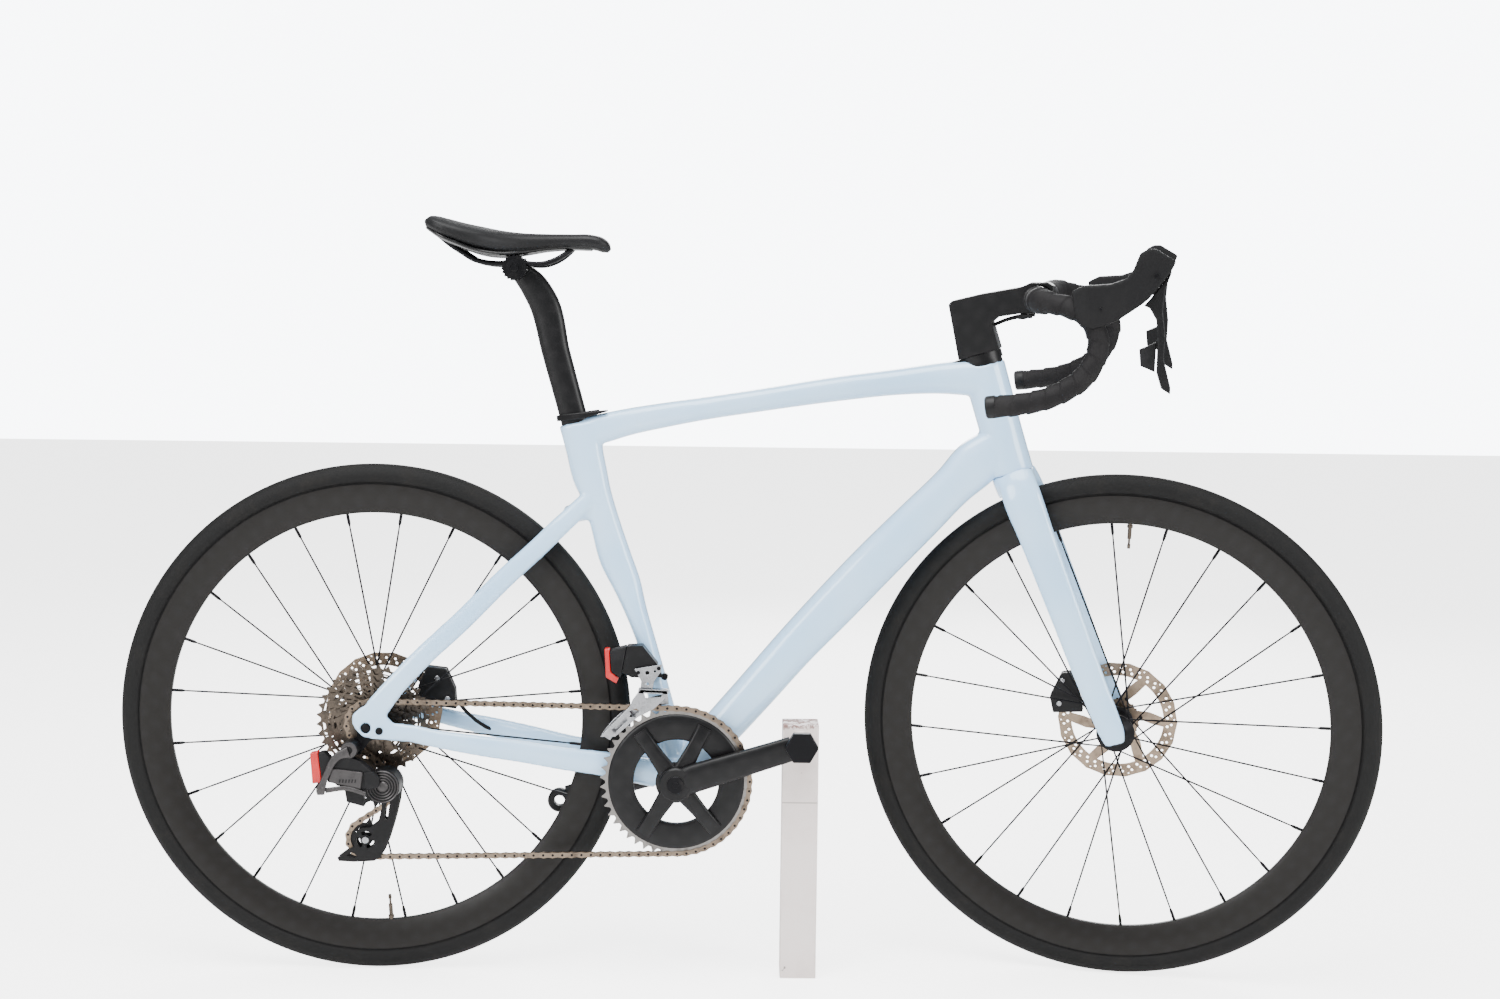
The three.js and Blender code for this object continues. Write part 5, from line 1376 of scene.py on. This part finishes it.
cover_rows = [[x, 0, (top + low) / 2, (top - low) / 2, wide] for x, top, low, wide in SADDLE]
pad = tube(cover_rows, 96, 2.5, steps=110, swell=channel)
cover = make("saddle_pad", [pad], "seat", SKIN, ["saddle_cover"], sharp=60)
shell_rows = [[x, 0, low + 3.2, 4.9, wide - 6] for x, _, low, wide in SADDLE[1:-3]]
make("saddle_base", [tube(shell_rows, 56, 3, steps=80)], "seat", GLOSS, ["saddle_shell"], sharp=50)

# %% [markdown]
# ## Front derailleur
# A motor housing clipped to the seat tube, its battery behind with a red latch, and a bright pressed
# cage that hangs over the chain. Its plates are outlines with windows; the housings are flat-sided
# mouldings with rounded corners, so their solids only want edges and screws.

# %% Front derailleur
OUTER_PLATE = [
    (355, 391), (391, 389.5), (391, 382), (373, 365), (352, 354), (323, 328), (303, 327.5), (310, 335.5),
    (342, 369), (345, 377),
]
PLATE_WINDOWS = [
    [(360, 387), (384, 386), (383, 381), (362, 380)],
    [(341, 362), (350, 366), (355, 362), (346, 355)],
    [(318, 337), (336, 354), (339, 350), (322, 333)],
]
BRACKET = [(347, 417), (383, 423), (382, 414), (373, 401), (371, 389), (355, 389), (356, 401)]
BRACKET_HOLES = [circle(364, 412, 2.6, 20), circle(364, 397, 2.2, 20), circle(374, 414, 1.6, 16)]
inner_arc = sector(*BB, 102, 116, math.radians(96), math.radians(149), 40)
cage_shapes = [
    plate(OUTER_PLATE, -55.4, -54.0, PLATE_WINDOWS),
    plate(inner_arc, -42.8, -41.4),
    plate([(352, 386), (392, 385), (392, 390.5), (353, 391.5)], -55.4, -41.4),
]
front_cage = make("front_mech_cage_plates", cage_shapes, "frame", SILVER, ["front_mech_cage"])
bevel(front_cage, 0.5, 2)
bracket = make("front_mech_bracket", [plate(BRACKET, -49, -45.5, BRACKET_HOLES)], "frame", SILVER)
bevel(bracket, 0.8, 2)
edged("front_mech_motor", "front_mech_body", PLASTIC, 2.6, 4)
edged("front_battery", "front_mech_battery", PLASTIC, 2.0, 4)
edged("front_battery_latch", "front_mech_latch", RED, 1.2, 3)
screws = [bar_y(x, z, r, -50, -46, 20, 0.6) for x, z, r in ((352, 412, 2.6), (379, 418, 2.6))]
screws.append(bar_y(386, 404, 4.6, -32, -24, 20, 0.6))
make("front_mech_screws", screws, "frame", DARK)

# %% [markdown]
# ## Rear derailleur
# The knuckle bolts to the hanger, a forged arm runs down from it, and the link body reaches forward
# to a ribbed clutch drum. The cage hangs from the drum with two toothed pulleys. Turned rings make
# the ribs, and outlines with windows make the cage plates.

# %% Housing, battery and hanger
edged("rear_mech_housing", "rear_mech_body", PLASTIC, 2.2, 3)
edged("rear_battery", "rear_mech_battery", PLASTIC, 2.0, 4)
edged("rear_battery_latch", "rear_mech_latch", RED, 1.2, 3)
edged("hanger_plate", "derailleur_hanger", DARK, 0.5, 2)

# %% Drum ribs, knuckle and arm
DRUM = (24.0, 266.0)
KNUCKLE = (-18.0, 315.0)
ribs = []
for r in (20.5, 17.0, 13.5, 10.0):
    section = [(r - 1.4, -89), (r - 1.0, -91.4), (r, -91.8), (r + 0.6, -91), (r + 0.6, -89)]
    ribs.append(turned(*DRUM, section, 64))
ribs.append(turned(*DRUM, [(0, -89), (7, -89), (7, -91), (5.6, -92.2), (0, -92.4)], 48))
make("drum_ribs", ribs, "frame", GREY_METAL)
section = [(4.4, -96), (9.6, -96), (10.6, -97), (10.2, -98.6), (5.0, -98.8), (4.4, -97.6)]
make("knuckle_collar", [turned(*KNUCKLE, section, 48)], "frame", GREY_METAL)
make("knuckle_socket", [bar_y(*KNUCKLE, 5.2, -97.6, -94, 24, 0.2)], "frame", PLASTIC)
ARM = [
    [-18, -98.4, 313, 7.5, 2.6], [-31, -99, 308, 5.4, 2.6], [-39, -99.4, 299, 4.6, 2.6],
    [-45, -99.6, 286, 4.2, 2.6], [-51, -99.6, 272, 4.6, 2.6], [-54, -99.4, 262, 6.0, 2.8],
    [-54, -99.2, 257, 4.6, 2.4],
]
LOWER_LINK = [[-48, -97, 262, 3.4, 2], [-20, -97.6, 265, 3.0, 2], [3, -97.2, 258, 2.6, 1.8]]
arms = [tube(ARM, 24, 3.2, steps=40), tube(LOWER_LINK, 20, 3.0, steps=20)]
make("rear_mech_arm", arms, "frame", GREY_METAL)
link_edge = [(-41, 291), (0, 286), (-3, 264), (-46, 273)]
link = make("rear_mech_link_plate", [plate(link_edge, -97.8, -94.4)], "frame", GREY_METAL)
bevel(link, 1.6, 3)
cap_edge = [(1, 286), (14, 287), (22, 279), (20, 266), (1, 264)]
cap = make("rear_mech_link_cap", [plate(cap_edge, -97.2, -92)], "frame", PLASTIC)
bevel(cap, 1.6, 3)
slats = []
for x in range(-30, -8, 4):
    slats.append(plate([(x, 277), (x + 1.6, 277), (x + 0.8, 272.5), (x - 0.8, 272.5)], -98.3, -97))
make("link_slats", slats, "frame", PLASTIC)
pins = [bar_y(x, z, 3.0, -102.6, -99.6, 20, 0.6) for x, z in ((-52, 264), (-43, 291))]
make("link_pins", pins, "frame", GREY_METAL)

# %% Cage plates and pulleys
CAGE = [
    (38, 266), (42, 256), (40, 240), (36, 222), (31, 204), (26, 188), (20, 173), (14, 163), (6, 159),
    (-20, 157.5), (-40, 158.5), (-42, 163), (-30, 172), (-20, 178), (-19, 196), (-10, 203), (2, 204),
    (12, 212), (17, 230), (14, 250), (2, 262), (10, 270), (26, 272),
]


def cage_windows():
    """Three windows round the tension pulley, one slot up the arm and one in the foot."""
    holes = [sector(*TENSION, 6.6, 11.6, a + 0.28, a + 1.72, 8) for a in (0.4, 2.5, 4.6)]
    holes.append([(23, 244), (28, 243), (24, 214), (20, 216)])
    holes.append([(-30, 166), (-22, 171), (-16, 165), (-20, 162)])
    return holes


for word, low, high in (("outer", -56.6, -54.6), ("inner", -43.5, -41.5)):
    name = word + "_cage_plate"
    shapes = [plate(CAGE, low, high, cage_windows())]
    cage_plate = make(name, shapes, "frame", PLASTIC, ["rear_mech_cage_" + word])
    bevel(cage_plate, 0.45, 2)
for (x, z), name in ((GUIDE, "guide"), (TENSION, "tension")):
    edge = toothed_edge(x, z, PULLEY_TEETH, 0.9, 0.1)
    holes = [circle(x, z, 3.3, 24)]
    holes += [sector(x, z, 8.6, 16.4, a, a + 0.72, 5) for a in np.arange(6) * math.pi / 3]
    section = [(3.2, -51.4), (6.6, -51.4), (7.4, -50.4), (7.4, -45.6), (6.6, -44.6), (3.2, -44.6)]
    shapes = [plate(edge, *tooth_y, holes), turned(x, z, section, 40)]
    make(name + "_pulley_wheel", shapes, name + "_wheel", PLASTIC, [name + "_pulley"])
    bolt = [bar_y(x, z, 4.6, -58.2, -56.4, 24, 0.6), bar_y(x, z, 2.9, -56.6, -42, 20, 0.2)]
    make(name + "_pulley_bolt", bolt, "frame", SILVER)

# %% [markdown]
# ## Display post
# A painted square tube with a stub that meets the bolt in the crank. Its solid is already right: what
# tells its age is the knocked edges, the seam and the chipped paint, and those are in the finish.

# %% Post
edged("display_post", "stand_post", POST_PAINT, 1.4, 3)

# %% [markdown]
# ## Floor, light and camera
# A pale floor and four big soft lights show form without hiding it. The camera stands low on the
# bicycle's right, 2.6 metres away, with a lens close to a normal one.

# %% Floor
FLOOR_HALF = 14.0
FLOOR_Z = -0.0005
FLOOR_GLOW = (0.3, 0.3, 0.3)
FLOOR_SEEN_GLOW = (3.2, 3.2, 3.2)


def floor_finish():
    """A matt white that looks brighter than the light it gives back, so that blacks stay black."""
    r = Recipe("pale_floor")
    tone = r.noise(3, 4)
    seen = r.node("ShaderNodeLightPath", out="Is Camera Ray")
    glow = r.blend(seen, FLOOR_GLOW, FLOOR_SEEN_GLOW)
    white = r.blend(tone * 0.5, shade(250, 249, 248), shade(244, 243, 242))
    return r.finish(Base_Color=white, Roughness=0.8, Emission_Color=glow, Emission_Strength=1.0)


floor_mesh = bpy.data.meshes.new("floor")
corners = [(FLOOR_HALF * x, FLOOR_HALF * y, FLOOR_Z) for x, y in ((-1, -1), (1, -1), (1, 1), (-1, 1))]
floor_mesh.from_pydata(corners, [], [(0, 1, 2, 3)])
floor_mesh.materials.append(floor_finish())
floor = bpy.data.objects.new("floor", floor_mesh)
bpy.context.scene.collection.objects.link(floor)
floor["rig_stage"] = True

# %% Lights
world = bpy.data.worlds.new("studio")
bpy.context.scene.world = world
world.use_nodes = True
background = world.node_tree.nodes["Background"]
background.inputs["Color"].default_value = (0.93, 0.96, 1.0, 1)
LIGHT_STRENGTH = 0.55
SEEN_STRENGTH = 9.0
path = world.node_tree.nodes.new("ShaderNodeLightPath")
strength = world.node_tree.nodes.new("ShaderNodeMapRange")
strength.inputs["To Min"].default_value = LIGHT_STRENGTH
strength.inputs["To Max"].default_value = SEEN_STRENGTH
world.node_tree.links.new(path.outputs["Is Camera Ray"], strength.inputs["Value"])
world.node_tree.links.new(strength.outputs["Result"], background.inputs["Strength"])


def soft_light(name, place, target, size, watts):
    data = bpy.data.lights.new(name, "AREA")
    data.shape, data.size, data.energy = "DISK", size, watts
    lamp = bpy.data.objects.new(name, data)
    lamp.location = place
    lamp.rotation_mode = "QUATERNION"
    lamp.rotation_quaternion = (Vector(target) - Vector(place)).to_track_quat("-Z", "Y")
    bpy.context.scene.collection.objects.link(lamp)


LIGHTS = [
    ("overhead_light", (-0.4, -0.9, 3.2), 2.6, 190), ("front_left_light", (-2.6, -2.6, 1.8), 1.8, 110),
    ("front_right_light", (2.8, -2.0, 1.5), 1.6, 90), ("back_light", (0.5, 3.0, 2.0), 2.0, 90),
]
for name, place, size, watts in LIGHTS:
    soft_light(name, place, (0, 0, 0.45), size, watts)

# %% Camera
CAMERA_PLACE = [(485.7, -2585.4, 838.2)]
LENS_MM = 46.8648
YAW, PITCH, ROLL = (math.radians(a) for a in (-0.2326, -4.4315, -0.6736))
view = Matrix.Rotation(YAW, 3, "Z") @ Matrix.Rotation(PITCH, 3, "X") @ Matrix.Rotation(ROLL, 3, "Y")
right, ahead, up = view.col[0], view.col[1], view.col[2]
axes = Matrix((right, up, -ahead)).transposed()
camera_data = bpy.data.cameras.new("camera")
camera_data.sensor_width = 36.0
camera_data.lens = LENS_MM
camera_data.clip_start, camera_data.clip_end = 0.05, 60
camera = bpy.data.objects.new("camera", camera_data)
camera.matrix_world = Matrix.Translation(Vector(metres(CAMERA_PLACE)[0])) @ axes.to_4x4()
bpy.context.scene.collection.objects.link(camera)
bpy.context.scene.camera = camera

low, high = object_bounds()
print("visual box", tuple(low), tuple(high))
